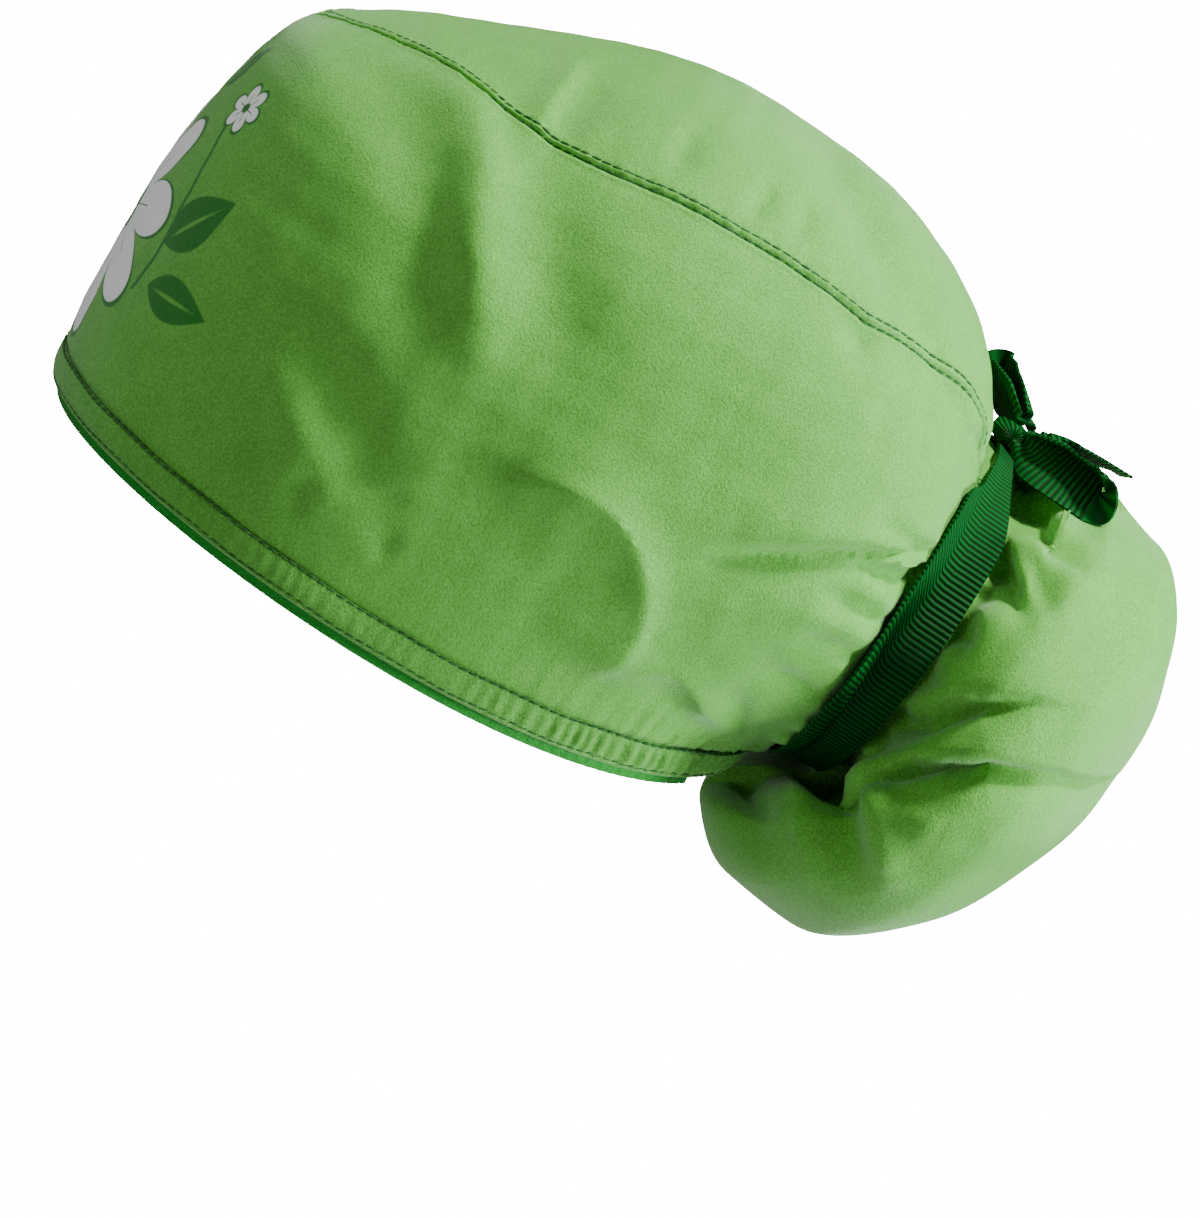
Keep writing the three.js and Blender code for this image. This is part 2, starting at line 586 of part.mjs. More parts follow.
// A length of ribbon along a path of the bow, bunched to a third of its width at the knot.
function bowRibbon(name, path, length, across, bothEnds) {
  const places = path.map((p) => bowDirection(p.left, p.out, p.up).multiplyScalar(length));
  const curve = new THREE.CatmullRomCurve3(places.map((p) => p.add(knotCentre)));
  const skin = (side) =>
    grid(shares(2), loopSteps + 1, (over, step) => {
      const along = step / loopSteps;
      const tangent = curve.getTangent(along);
      const wide = across.clone().addScaledVector(tangent, -across.dot(tangent)).normalize();
      const normal = tangent.clone().cross(wide);
      const fromKnot = bothEnds ? Math.min(along, 1 - along) : along / 2;
      const width = THREE.MathUtils.lerp(0.34, 1, THREE.MathUtils.smoothstep(fromKnot, 0, 0.2));
      const point = curve.getPoint(along).addScaledVector(wide, (over - 0.5) * ribbonWidth * width);
      return point.addScaledVector(normal, (side * ribbonWall) / 2);
    });
  return named(name, solidBetween(skin(1), skin(-1), false), ribbonGreen);
}

// Knot: a turn of the ribbon pulled tight over the start of the loops.
function bowKnot() {
  const geometry = new THREE.SphereGeometry(1, 16, 10);
  const position = geometry.attributes.position;
  for (let i = 0; i < position.count; i += 1) {
    const side = position.getX(i);
    const out = position.getZ(i);
    const up = position.getY(i);
    const round = Math.pow(Math.pow(Math.abs(side), 3) + Math.pow(Math.abs(out), 3) + Math.pow(Math.abs(up), 3), -1 / 3);
    const crease = 1 - 0.12 * Math.exp(-Math.pow(side / 0.22, 2)) * Math.max(0, up);
    const place = bowDirection(
      (side * round * knotWidth) / 2,
      (-out * round * knotLength) / 2,
      (up * round * crease * knotThickness) / 2,
    ).add(knotCentre);
    position.setXYZ(i, place.x, place.y, place.z);
  }
  return named("bow_knot", geometry, ribbonGreen);
}

const cap = new THREE.Group();
cap.name = "scrub_cap";
cap.add(
  sidePanel("side_panel_left", 1),
  sidePanel("side_panel_right", -1),
  crownPanel(),
  hemBand(),
  sweatband(),
  pouch(),
  tieRibbon(),
  bowKnot(),
  bowRibbon("bow_loop_near", nearLoop, loopLength, bowDirection(0.9, 0, -0.44), true),
  bowRibbon("bow_loop_far", farLoop, loopLength, bowDirection(0, -0.6, 0.8), true),
  bowRibbon("bow_tail_near", nearTail, tailLength, bowDirection(1, 0, -0.15), false),
  bowRibbon("bow_tail_far", farTail, tailLength, bowDirection(1, 0, 0.25), false),
);
cap.position.copy(vertex).negate();

export default cap;
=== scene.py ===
import math

import bmesh
import bpy
import numpy as np
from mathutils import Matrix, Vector


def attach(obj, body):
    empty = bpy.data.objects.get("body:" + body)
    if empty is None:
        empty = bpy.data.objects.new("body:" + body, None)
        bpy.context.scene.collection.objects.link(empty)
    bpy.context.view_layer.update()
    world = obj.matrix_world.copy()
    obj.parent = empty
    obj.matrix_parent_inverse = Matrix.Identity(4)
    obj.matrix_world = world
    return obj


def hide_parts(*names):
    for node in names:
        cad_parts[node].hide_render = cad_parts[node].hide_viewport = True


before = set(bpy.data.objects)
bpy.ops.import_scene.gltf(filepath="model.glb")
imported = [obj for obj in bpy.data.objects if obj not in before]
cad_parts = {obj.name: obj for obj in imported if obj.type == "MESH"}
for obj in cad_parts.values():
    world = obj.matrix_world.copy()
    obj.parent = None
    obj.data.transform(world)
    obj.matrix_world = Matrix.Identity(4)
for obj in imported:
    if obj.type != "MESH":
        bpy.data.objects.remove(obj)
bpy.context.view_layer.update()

# Camera, light and floor
# The cap is seen from the wearer's left and a little above, as on a product table. Nothing
# touches it: a head would hold it up, so the floor lies well below and takes no part.
MM = 0.001
VIEW_RISE = math.radians(12)
VIEW_DISTANCE = 1.1
aim = Vector((0, 9.8, -137.9)) * MM
view = Vector((math.cos(VIEW_RISE), 0, math.sin(VIEW_RISE)))

camera_data = bpy.data.cameras.new("camera")
camera_data.lens = 133.3
camera_data.sensor_width = 36
camera_data.clip_end = 50
camera = bpy.data.objects.new("camera", camera_data)
bpy.context.collection.objects.link(camera)
camera.location = aim + view * VIEW_DISTANCE
camera.rotation_euler = (aim - camera.location).to_track_quat("-Z", "Y").to_euler()
bpy.context.scene.camera = camera


def soft_light(name, place, size, power, colour):
    data = bpy.data.lights.new(name, "AREA")
    data.shape = "DISK"
    data.size = size
    data.energy = power
    data.color = colour
    lamp = bpy.data.objects.new(name, data)
    bpy.context.collection.objects.link(lamp)
    lamp.location = Vector(place)
    lamp.rotation_euler = (aim - lamp.location).to_track_quat("-Z", "Y").to_euler()
    return lamp


soft_light("key_light", (0.2, 1.1, 0.85), 0.2, 38, (1.0, 0.99, 0.97))
soft_light("side_light", (0.45, 1.35, -0.5), 0.35, 33, (0.95, 1.0, 1.05))
soft_light("fill_light", (1.1, -1.0, 0.1), 0.9, 4.4, (0.98, 0.99, 1.0))
soft_light("top_light", (-0.1, -0.2, 1.3), 0.6, 7, (1.0, 1.0, 1.0))

world = bpy.data.worlds.new("studio")
bpy.context.scene.world = world
world.use_nodes = True
world.node_tree.nodes["Background"].inputs["Color"].default_value = (1.0, 1.0, 1.0, 1)
world.node_tree.nodes["Background"].inputs["Strength"].default_value = 0.15

bpy.ops.object.select_all(action="DESELECT")
bpy.ops.mesh.primitive_plane_add(size=30, location=(0, 0, -0.75))
floor = bpy.context.object
floor.name = "floor"
floor_paint = bpy.data.materials.new("floor_paint")
floor_paint.use_nodes = True
floor_shader = floor_paint.node_tree.nodes["Principled BSDF"]
floor_shader.inputs["Base Color"].default_value = (0.6, 0.6, 0.6, 1)
floor_shader.inputs["Roughness"].default_value = 0.9
floor_shader.inputs["Emission Color"].default_value = (1.0, 1.0, 1.0, 1)
floor_sight = floor_paint.node_tree.nodes.new("ShaderNodeLightPath")
floor_glow = floor_paint.node_tree.nodes.new("ShaderNodeMath")
floor_glow.operation = "MULTIPLY_ADD"
floor_glow.inputs[1].default_value = 20
floor_glow.inputs[2].default_value = 0
floor_paint.node_tree.links.new(floor_sight.outputs["Is Camera Ray"], floor_glow.inputs[0])
floor_paint.node_tree.links.new(floor_glow.outputs[0], floor_shader.inputs["Emission Strength"])
floor.data.materials.append(floor_paint)

# Form of the crown
# The cap's crown is a fan of ovals that turn about a line behind the nape, from the hem to the
# mouth of the pouch. Both of its panels are cut from this one form, so their edges meet.
HEM_LENGTH = 200
HEM_TILT = math.radians(30.6)
HEM_DIP = 6.5
FAN = math.radians(93.8)
HALF_WIDTH = 80
NAPE_RADIUS = (8 + 7.5 + 2 * 0.3 + 1.5) / FAN
CLOTH = 1.3
CAD_WALL = 1.5

CROWN_ROWS = [
    # turn, reach, half width, squareness
    (0, 1.0, 0.97, 2.2),
    (0.12, 1.034, 0.99, 2.2),
    (0.22, 1.068, 1.0, 2.25),
    (0.295, 1.08, 1.0, 2.3),
    (0.345, 1.047, 1.0, 2.3),
    (0.45, 0.951, 1.0, 2.25),
    (0.55, 0.888, 0.98, 2.2),
    (0.68, 0.792, 0.93, 2.15),
    (0.8, 0.697, 0.85, 2.1),
    (0.9, 0.606, 0.73, 2.05),
    (0.94, 0.552, 0.615, 2),
    (0.975, 0.496, 0.595, 2),
    (1, 0.49, 0.59, 2),
]


def follow(rows, at):
    """Each column of a table of rows at places along its first, on a curve with no overshoot."""
    rows = np.array(rows, float)
    key, values = rows[:, 0], rows[:, 1:]
    at = np.clip(np.asarray(at, float), key[0], key[-1])
    step = np.diff(key)[:, None]
    rise = np.diff(values, axis=0) / step
    slope = np.zeros_like(values)
    slope[0], slope[-1] = rise[0], rise[-1]
    before, after = rise[:-1], rise[1:]
    same = before * after > 0
    total = np.where(same, before + after, 1)
    slope[1:-1] = np.where(same, 2 * before * after / total, 0)
    i = np.clip(np.searchsorted(key, at, side="right") - 1, 0, len(key) - 2)
    h = (key[i + 1] - key[i])[..., None]
    s = ((at - key[i]) / (key[i + 1] - key[i]))[..., None]
    s2, s3 = s * s, s * s * s
    return (
        (2 * s3 - 3 * s2 + 1) * values[i]
        + (s3 - 2 * s2 + s) * h * slope[i]
        + (3 * s2 - 2 * s3) * values[i + 1]
        + (s3 - s2) * h * slope[i + 1]
    )


def ease(value, low, high):
    s = np.clip((value - low) / (high - low), 0, 1)
    return s * s * (3 - 2 * s)


def fan_direction(turn):
    up = math.pi - HEM_TILT - np.asarray(turn, float) * FAN
    return np.stack([np.zeros_like(up), np.cos(up), np.sin(up)], -1)


def crown_from_nape(angle, turn):
    angle, turn = np.broadcast_arrays(np.asarray(angle, float), np.asarray(turn, float))
    row = follow(CROWN_ROWS, turn)
    reach, width, square = row[..., 0], row[..., 1], row[..., 2]
    c, s = np.cos(angle), np.sin(angle)
    size = (np.abs(c) ** square + np.abs(s) ** square) ** (1 / square)
    out = NAPE_RADIUS + (reach * HEM_LENGTH - NAPE_RADIUS) * (1 + c / size) / 2
    point = fan_direction(turn) * out[..., None]
    point[..., 0] = width * HALF_WIDTH * s / size
    return point


def normal_of(surface, u, v):
    along_u = surface(u + 0.01, v) - surface(u - 0.01, v)
    along_v = surface(u, v + 0.002) - surface(u, v - 0.002)
    normal = np.cross(along_u, along_v)
    return normal / np.linalg.norm(normal, axis=-1, keepdims=True)


def head_top():
    """The place inside the crown, 51 mm ahead of the nape line, where the head bears."""
    turn = np.linspace(0.3, 0.8, 4001)
    inner = crown_from_nape(0 * turn, turn) - CAD_WALL * normal_of(crown_from_nape, 0 * turn, turn)
    return inner[np.argmin(np.abs(inner[:, 1] + 51))]


HEAD_TOP = head_top()


def crown(angle, turn):
    return crown_from_nape(angle, turn) - HEAD_TOP


def crown_normal(angle, turn):
    angle, turn = np.broadcast_arrays(np.asarray(angle, float), np.asarray(turn, float))
    return normal_of(crown_from_nape, angle, np.minimum(turn, 0.997))


def length_per_turn(angle, turn):
    turn = np.minimum(turn, 0.99)
    gap = crown(angle, turn + 0.005) - crown(angle, turn - 0.005)
    return np.linalg.norm(gap, axis=-1) / 0.01


def length_per_angle(angle, turn):
    gap = crown(angle + 0.01, turn) - crown(angle - 0.01, turn)
    return np.linalg.norm(gap, axis=-1) / 0.02


def turn_from_hem(angle, height):
    """The turn that lies some millimetres above the hem's edge."""
    angle, height = np.broadcast_arrays(np.asarray(angle, float), np.asarray(height, float))
    dip = HEM_DIP * np.sin(angle) ** 2 * (1 - 0.4 * np.cos(angle))
    turn = -dip / length_per_turn(angle, 0.01)
    for _ in range(12):
        turn = turn + height / 12 / length_per_turn(angle, turn)
    return turn


def mouth_turn(angle, distance):
    """The turn that lies some millimetres before the mouth."""
    return 1 - distance / length_per_turn(angle, 0.98)


# Folds
# The cloth stands off the head in long soft ridges and hollows, laps over itself in a few
# places, and is drawn into short puckers where the ribbon and the hem gather it.
CROWN_FOLDS = [
    # side, form, width, height, then places behind and above the top of the head
    # A bowl has its middle and a place on its rim instead.
    (1, "soft", 6, 2.6, (-28, -3), (-20, -11), (-17, -21), (-19, -36), (-17, -48), (-17, -62)),
    (1, "soft", 9, -2.8, (-42, -8), (-32, -16), (-30, -28), (-31, -44), (-33, -58)),
    (1, "soft", 9, -2.2, (-4, -24), (-2, -37), (0, -51), (2, -62)),
    (1, "tuck_left", 5, -3.2, (96, -121), (74, -114), (50, -110), (14, -106)),
    (1, "soft", 7, 1.6, (92, -115), (66, -106), (40, -101)),
    (1, "soft", 8, 1.4, (34, -122), (56, -126), (72, -130)),
    (1, "bowl", 25, 6, (-5, -116), (20, -113)),
    (1, "bowl", 11, 1.8, (20, -148), (32, -143)),
    (1, "pleat", 2.2, -3.4, (85, -113.5), (69, -110.5), (50, -109.5), (26, -108)),
    (1, "pleat", 5, -2.6, (36, -163), (29, -153), (22, -143), (14, -134)),
    (1, "pleat", 4, 1.5, (38, -160), (34, -148), (28, -137)),
    (1, "pleat", 3, -1.6, (44, -158), (42, -148), (38, -140)),
    (1, "pleat", 3, -1.4, (26, -163), (16, -154), (6, -148)),
    (1, "pleat", 2.5, -1.9, (86, -113), (78, -107), (70, -101)),
    (1, "pleat", 2.5, -2.0, (82, -121), (73, -115), (66, -110)),
    (1, "pleat", 3, -2.2, (76, -129), (66, -123), (58, -119)),
    (1, "pleat", 3, -2.0, (69, -137), (59, -132), (52, -130)),
    (1, "pleat", 3, -2.0, (60, -147), (50, -141), (43, -138)),
    (1, "pleat", 3.5, -2.4, (-74, -99), (-70, -90), (-64, -78)),
    (1, "pleat", 3.5, -1.0, (-62, -104), (-58, -95), (-53, -86)),
    (1, "pleat", 2.5, -1.4, (-84, -94), (-80, -85)),
    (1, "pleat", 3, -1.2, (-40, -111), (-37, -101)),
    (1, "soft", 8, 1.8, (-66, -64), (-59, -78), (-53, -92)),
    (1, "soft", 8, -2.2, (-54, -62), (-46, -78), (-42, -94)),
    (1, "soft", 3.5, -1.6, (67, -58), (70, -65)),
    (1, "soft", 3.5, 1.6, (-5, -15), (0, -9), (6, -3)),
    (1, "soft", 4, -1.8, (0, -15), (5, -11), (11, -6)),
    (1, "soft", 3, -1.1, (27, -23), (32, -17)),
    (1, "soft", 3, -1.2, (44, -35), (49, -28)),
    (1, "soft", 3, -0.9, (55, -40), (58, -32)),
    (1, "soft", 5, -2.6, (62, -22), (70, -36), (77, -49), (84, -58)),
    (1, "soft", 5, 1.6, (68, -20), (78, -35), (85, -48)),
    (1, "lap", 5, 2.0, (87, -64), (92, -76), (96, -86), (102, -96)),
    (-1, "soft", 7, 2.0, (-20, -10), (-18, -30), (-24, -56)),
    (-1, "soft", 10, -2.6, (-38, -12), (-34, -34), (-38, -60)),
    (-1, "tuck_left", 5, -3.8, (92, -118), (66, -110), (40, -106), (12, -102)),
    (-1, "lap", 11, 2.0, (0, -94), (16, -108), (16, -126), (4, -140)),
    (-1, "pleat", 4, -2.4, (40, -162), (32, -150), (24, -138)),
    (-1, "pleat", 3, -2.0, (84, -118), (74, -112), (66, -107)),
    (-1, "pleat", 3, -2.0, (73, -132), (62, -126), (54, -121)),
    (-1, "pleat", 3, -1.8, (60, -147), (50, -142), (43, -138)),
    (-1, "soft", 5, -2.2, (64, -24), (74, -42), (84, -56)),
    (-1, "soft", 4, -1.0, (-66, -98), (-60, -84)),
]
PUCKERS = 30
PUCKER_DEPTH = 1.5


def fold_height(point, folds):
    """Height of the folds over the smooth cloth, each one followed as seen from its side.

    A soft fold fades at both ends, a pleat widens and fades from its start, a lap steps down
    over its line, a tuck is sharp on one side of it, and a bowl is a hollow with a raised rim.
    """
    back, up = point[..., 1], point[..., 2]
    height = np.zeros_like(back)
    for side, form, width, tall, *line in folds:
        runs = [math.dist(a, b) for a, b in zip(line, line[1:])]
        near = np.full_like(back, 1e9)
        signed = np.zeros_like(back)
        share = np.zeros_like(back)
        done = 0
        for (b0, u0), (b1, u1), run in zip(line, line[1:], runs):
            along = ((back - b0) * (b1 - b0) + (up - u0) * (u1 - u0)) / run**2
            along = np.clip(along, 0, 1)
            gap = np.hypot(back - b0 - along * (b1 - b0), up - u0 - along * (u1 - u0))
            across = ((up - u0) * (b1 - b0) - (back - b0) * (u1 - u0)) / run
            closer = gap < near
            signed = np.where(closer, across, signed)
            share = np.where(closer, (done + along * run) / sum(runs), share)
            near = np.minimum(gap, near)
            done += run
        if form == "pleat":
            spread = near / (width * (0.6 + 0.8 * share))
            shape = np.exp(-(spread**2)) * (1 - ease(share, 0.45, 1.05))
            shape = shape * (0.4 + 0.6 * ease(share, -0.05, 0.2))
        elif form == "lap":
            shape = np.exp(-((near / width) ** 1.4)) * np.tanh(signed / 2.2)
            shape = shape * (1 - 0.7 * np.abs(2 * share - 1) ** 4)
        elif form in ("tuck", "tuck_left"):
            low = -signed if form == "tuck" else signed
            shape = np.exp(-near / width) * (0.5 + 0.5 * np.tanh(low / 0.9))
            shape = shape * (1 - ease(share, 0.3, 1.05))
        elif form == "bowl":
            (b0, u0), (b1, u1) = line
            rim = math.dist(*line)
            ahead = ((back - b0) * (b1 - b0) + (up - u0) * (u1 - u0)) / rim**2
            aside = ((up - u0) * (b1 - b0) - (back - b0) * (u1 - u0)) / rim / width
            out = np.hypot(ahead, aside)
            shape = np.where(out < 1, out**1.4, np.exp((1 - out) / 0.32))
            shape = shape * ease(ahead / np.maximum(out, 0.01), -0.5, 0.7)
        else:
            shape = np.exp(-((near / width) ** 2)) * (1 - 0.6 * np.abs(2 * share - 1) ** 3)
        height += np.where(side * point[..., 0] > 0, tall * shape, 0)
    return height


def drift(point, reach, seed):
    """A slow unevenness of the cloth, the same on every run."""
    x, y, z = (point[..., i] / reach for i in range(3))
    return (
        np.sin(1.9 * x + 2.3 * z + seed)
        + np.sin(2.7 * y - 1.3 * z + 2.1 * seed)
        + np.sin(3.1 * z + 1.7 * y + 0.7 * seed)
    ) / 3


def pucker(angle):
    """Gathers round the mouth: 0 on a crest and 1 in a valley."""
    wave = np.cos(PUCKERS * angle + 1.5 * np.sin(3 * angle) + 0.9 * np.sin(7 * angle + 1))
    return 0.5 - 0.5 * wave * (0.75 + 0.25 * np.sin(5 * angle + 2))


def hem_pull(angle):
    """How strongly the elastic gathers the hem: 0 in front and 1 at the back."""
    return 0.12 + 0.88 * ease(-np.cos(angle), 0.1, 0.75)


def hem_wave(angle):
    wave = np.sin(150 * angle + 2.2 * np.sin(9 * angle) + 1.3 * np.sin(23 * angle + 1))
    return (wave + 0.5 * np.sin(83 * angle + 1.5 * np.sin(5 * angle))) * hem_pull(angle)


def crown_cloth(angle, turn):
    """The crown's outer face with its folds."""
    angle, turn = np.broadcast_arrays(np.asarray(angle, float), np.asarray(turn, float))
    smooth = crown(angle, turn)
    from_mouth = (1 - turn) * length_per_turn(angle, turn)
    from_hem = turn * length_per_turn(angle, 0.1)
    off_centre = ease(np.abs(smooth[..., 0]), 2, 20)
    free = ease(from_hem, 9, 22) * ease(from_mouth, 8.5, 15)
    folds = fold_height(smooth, CROWN_FOLDS) * off_centre
    lift = (folds + 0.55 * drift(smooth, 22, 1) + 0.16 * drift(smooth, 5, 3)) * free
    lift -= PUCKER_DEPTH * pucker(angle) * np.exp(-((from_mouth / 15) ** 2))
    rolled = np.exp(-(((from_mouth - 10.5) / 2.2) ** 2)) * (0.9 + 1.1 * (1 - pucker(angle)))
    lift += rolled * ease(np.abs(angle), 0.5, 1.2)
    lift += 0.35 * hem_wave(angle) * np.exp(-((np.maximum(0, from_hem - 8) / 6) ** 2))
    return smooth + crown_normal(angle, turn) * lift[..., None]


# Crown and side panels
# One long oval panel runs over the top of the head, and one wrap panel makes the front and
# both sides. They are cut from light polyester and cotton cloth and joined by a felled seam.
SEAM_ROWS = [
    # share, angle in degrees, turn
    (0, 0, 0.31),
    (0.07, 9, 0.324),
    (0.16, 18, 0.35),
    (0.26, 28, 0.383),
    (0.36, 38, 0.418),
    (0.46, 45, 0.465),
    (0.56, 50, 0.535),
    (0.66, 53, 0.62),
    (0.76, 54, 0.72),
    (0.85, 48, 0.815),
    (0.93, 40, 0.91),
    (1, 32, 1),
]
SEAM_GAP = 0.3
HEM_HEIGHT = 8


def seam(share, aside):
    """Angle and turn on the seam, moved some millimetres towards the side panel."""
    share = np.asarray(share, float)
    here = follow(SEAM_ROWS, share)
    ahead = follow(SEAM_ROWS, np.minimum(1, share + 0.01))
    behind = follow(SEAM_ROWS, np.maximum(0, share - 0.01))
    angle, turn = np.radians(here[..., 0]), here[..., 1]
    per_angle, per_turn = length_per_angle(angle, turn), length_per_turn(angle, turn)
    run_angle = np.radians(ahead[..., 0] - behind[..., 0]) * per_angle
    run_turn = (ahead[..., 1] - behind[..., 1]) * per_turn
    run = np.hypot(run_angle, run_turn)
    return angle + aside * run_turn / run / per_angle, turn - aside * run_angle / run / per_turn


def sheet_mesh(name, points, closed, wall, uv=None):
    """A cloth wall from a grid of outer points in millimetres, thickened inwards."""
    rows, columns = points.shape[:2]
    ring = columns if closed else columns - 1
    faces = []
    for i in range(rows - 1):
        a = i * columns
        for j in range(ring):
            k = (j + 1) % columns
            faces.append((a + j, a + k, a + columns + k, a + columns + j))
    mesh = bpy.data.meshes.new(name)
    mesh.from_pydata((points.reshape(-1, 3) * MM).tolist(), [], faces)
    if uv is not None:
        layer = mesh.uv_layers.new(name="cloth")
        index = np.empty(len(mesh.loops), int)
        mesh.loops.foreach_get("vertex_index", index)
        layer.data.foreach_set("uv", uv.reshape(-1, 2)[index].astype(np.float32).ravel())
    edit = bmesh.new()
    edit.from_mesh(mesh)
    bmesh.ops.remove_doubles(edit, verts=edit.verts, dist=1e-6)
    bmesh.ops.dissolve_degenerate(edit, edges=edit.edges, dist=1e-7)
    edit.to_mesh(mesh)
    edit.free()
    piece = bpy.data.objects.new(name, mesh)
    bpy.context.collection.objects.link(piece)
    bpy.ops.object.select_all(action="DESELECT")
    piece.select_set(True)
    bpy.context.view_layer.objects.active = piece
    thicken = piece.modifiers.new("wall", "SOLIDIFY")
    thicken.thickness = wall * MM
    thicken.offset = -1
    bpy.ops.object.modifier_apply(modifier="wall")
    bpy.ops.object.shade_smooth_by_angle(angle=math.radians(50))
    return piece


def cloth_grain_group():
    """Crepe grain: a fine mottled relief with a little colour in its hollows."""
    group = bpy.data.node_groups.new("cloth_grain", "ShaderNodeTree")
    group.interface.new_socket("Grain Size", in_out="INPUT", socket_type="NodeSocketFloat")
    group.interface.new_socket("Light", in_out="INPUT", socket_type="NodeSocketColor")
    group.interface.new_socket("Deep", in_out="INPUT", socket_type="NodeSocketColor")
    group.interface.new_socket("Color", in_out="OUTPUT", socket_type="NodeSocketColor")
    group.interface.new_socket("Height", in_out="OUTPUT", socket_type="NodeSocketFloat")
    nodes, link = group.nodes, group.links.new
    enter = nodes.new("NodeGroupInput")
    leave = nodes.new("NodeGroupOutput")
    place = nodes.new("ShaderNodeTexCoord")
    scale = nodes.new("ShaderNodeVectorMath")
    scale.operation = "DIVIDE"
    link(place.outputs["Object"], scale.inputs[0])
    link(enter.outputs["Grain Size"], scale.inputs[1])
    crepe = nodes.new("ShaderNodeTexNoise")
    crepe.inputs["Scale"].default_value = 1.0
    crepe.inputs["Detail"].default_value = 3.0
    crepe.inputs["Roughness"].default_value = 0.6
    crepe.inputs["Distortion"].default_value = 0.6
    link(scale.outputs[0], crepe.inputs["Vector"])
    blotch = nodes.new("ShaderNodeTexNoise")
    blotch.inputs["Scale"].default_value = 0.055
    blotch.inputs["Detail"].default_value = 2.0
    link(scale.outputs[0], blotch.inputs["Vector"])
    spread = nodes.new("ShaderNodeMapRange")
    spread.inputs["From Min"].default_value = 0.38
    spread.inputs["From Max"].default_value = 0.62
    link(crepe.outputs["Fac"], spread.inputs["Value"])
    share = nodes.new("ShaderNodeMath")
    share.operation = "MULTIPLY_ADD"
    share.inputs[1].default_value = 0.6
    link(blotch.outputs["Fac"], share.inputs[0])
    link(spread.outputs["Result"], share.inputs[2])
    fade = nodes.new("ShaderNodeMath")
    fade.operation = "MULTIPLY"
    fade.inputs[1].default_value = 0.62
    fade.use_clamp = True
    link(share.outputs[0], fade.inputs[0])
    mix = nodes.new("ShaderNodeMix")
    mix.data_type = "RGBA"
    link(fade.outputs[0], mix.inputs["Factor"])
    link(enter.outputs["Deep"], mix.inputs["A"])
    link(enter.outputs["Light"], mix.inputs["B"])
    link(mix.outputs["Result"], leave.inputs["Color"])
    link(spread.outputs["Result"], leave.inputs["Height"])
    return group


cloth_grain = cloth_grain_group()


def cloth_finish(name, light, deep, grain_size, relief, roughness, sheen):
    """A cloth with the crepe grain. Returns the material and the output of its colour."""
    material = bpy.data.materials.new(name)
    material.use_nodes = True
    nodes, link = material.node_tree.nodes, material.node_tree.links.new
    shader = nodes["Principled BSDF"]
    shader.inputs["Roughness"].default_value = roughness
    shader.inputs["Sheen Weight"].default_value = sheen
    shader.inputs["Sheen Roughness"].default_value = 0.4
    shader.inputs["Specular IOR Level"].default_value = 0.35
    grain = nodes.new("ShaderNodeGroup")
    grain.node_tree = cloth_grain
    grain.inputs["Grain Size"].default_value = grain_size * MM
    grain.inputs["Light"].default_value = (*light, 1)
    grain.inputs["Deep"].default_value = (*deep, 1)
    link(grain.outputs["Color"], shader.inputs["Base Color"])
    bump = nodes.new("ShaderNodeBump")
    bump.inputs["Strength"].default_value = relief
    bump.inputs["Distance"].default_value = 0.22 * MM
    link(grain.outputs["Height"], bump.inputs["Height"])
    link(bump.outputs["Normal"], shader.inputs["Normal"])
    return material, grain


CAP_COLOURS = ((0.15, 0.53, 0.06), (0.055, 0.29, 0.012))
cap_green, _ = cloth_finish("cap_green", *CAP_COLOURS, 0.55, 0.5, 0.6, 0.3)


def seam_relief(points, normal, from_seam, along_seam, rows):
    """The seam: cloth turned under at the edge, puckered and held by rows of stitches."""
    lift = -0.8 * np.exp(-((np.maximum(0, from_seam) / 0.45) ** 2))
    lift = lift + 1.1 * np.minimum(0, from_seam)
    for row in rows:
        lift -= 0.32 * np.exp(-(((from_seam - row) / 0.4) ** 2))
    wave = np.sin(along_seam / 1.3 + 1.2 * np.sin(along_seam / 7)) + np.sin(along_seam / 0.7)
    lift += 0.1 * wave * np.exp(-((from_seam / 4) ** 2))
    lift += 0.25 * np.exp(-(((from_seam - 1.3) / 0.7) ** 2))
    return points + normal * lift[..., None]


def run_length(points):
    """How far each point of a line lies from its start."""
    return np.concatenate([[0], np.cumsum(np.linalg.norm(np.diff(points, axis=0), axis=1))])


SEAM_STITCH_ROWS = (0.5, 2.2)
SEAM_TUCK = 0.6


def crown_panel_points(long_steps, cross_steps):
    share = 1 - (1 - np.linspace(0, 1, long_steps + 1)) ** 1.15
    edge_angle, edge_turn = seam(share, SEAM_TUCK)
    across = np.sin(np.linspace(-1, 1, cross_steps + 1) * 1.25) / math.sin(1.25)
    angle = edge_angle[:, None] * across
    turn = np.minimum(edge_turn[:, None], mouth_turn(angle, SEAM_GAP / 2))
    points = crown_cloth(angle, turn)
    from_seam = (1 - np.abs(across)) * edge_angle[:, None] * length_per_angle(angle, turn)
    from_seam = from_seam - SEAM_TUCK
    along = run_length(points[:, -1])[:, None]
    return seam_relief(points, crown_normal(angle, turn), from_seam, along, SEAM_STITCH_ROWS)


crown_panel = sheet_mesh("crown_panel_cloth", crown_panel_points(260, 130), False, CLOTH)
crown_panel.data.materials.append(cap_green)
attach(crown_panel, "root")
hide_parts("crown_panel")


HEM_TUCK = 1.2


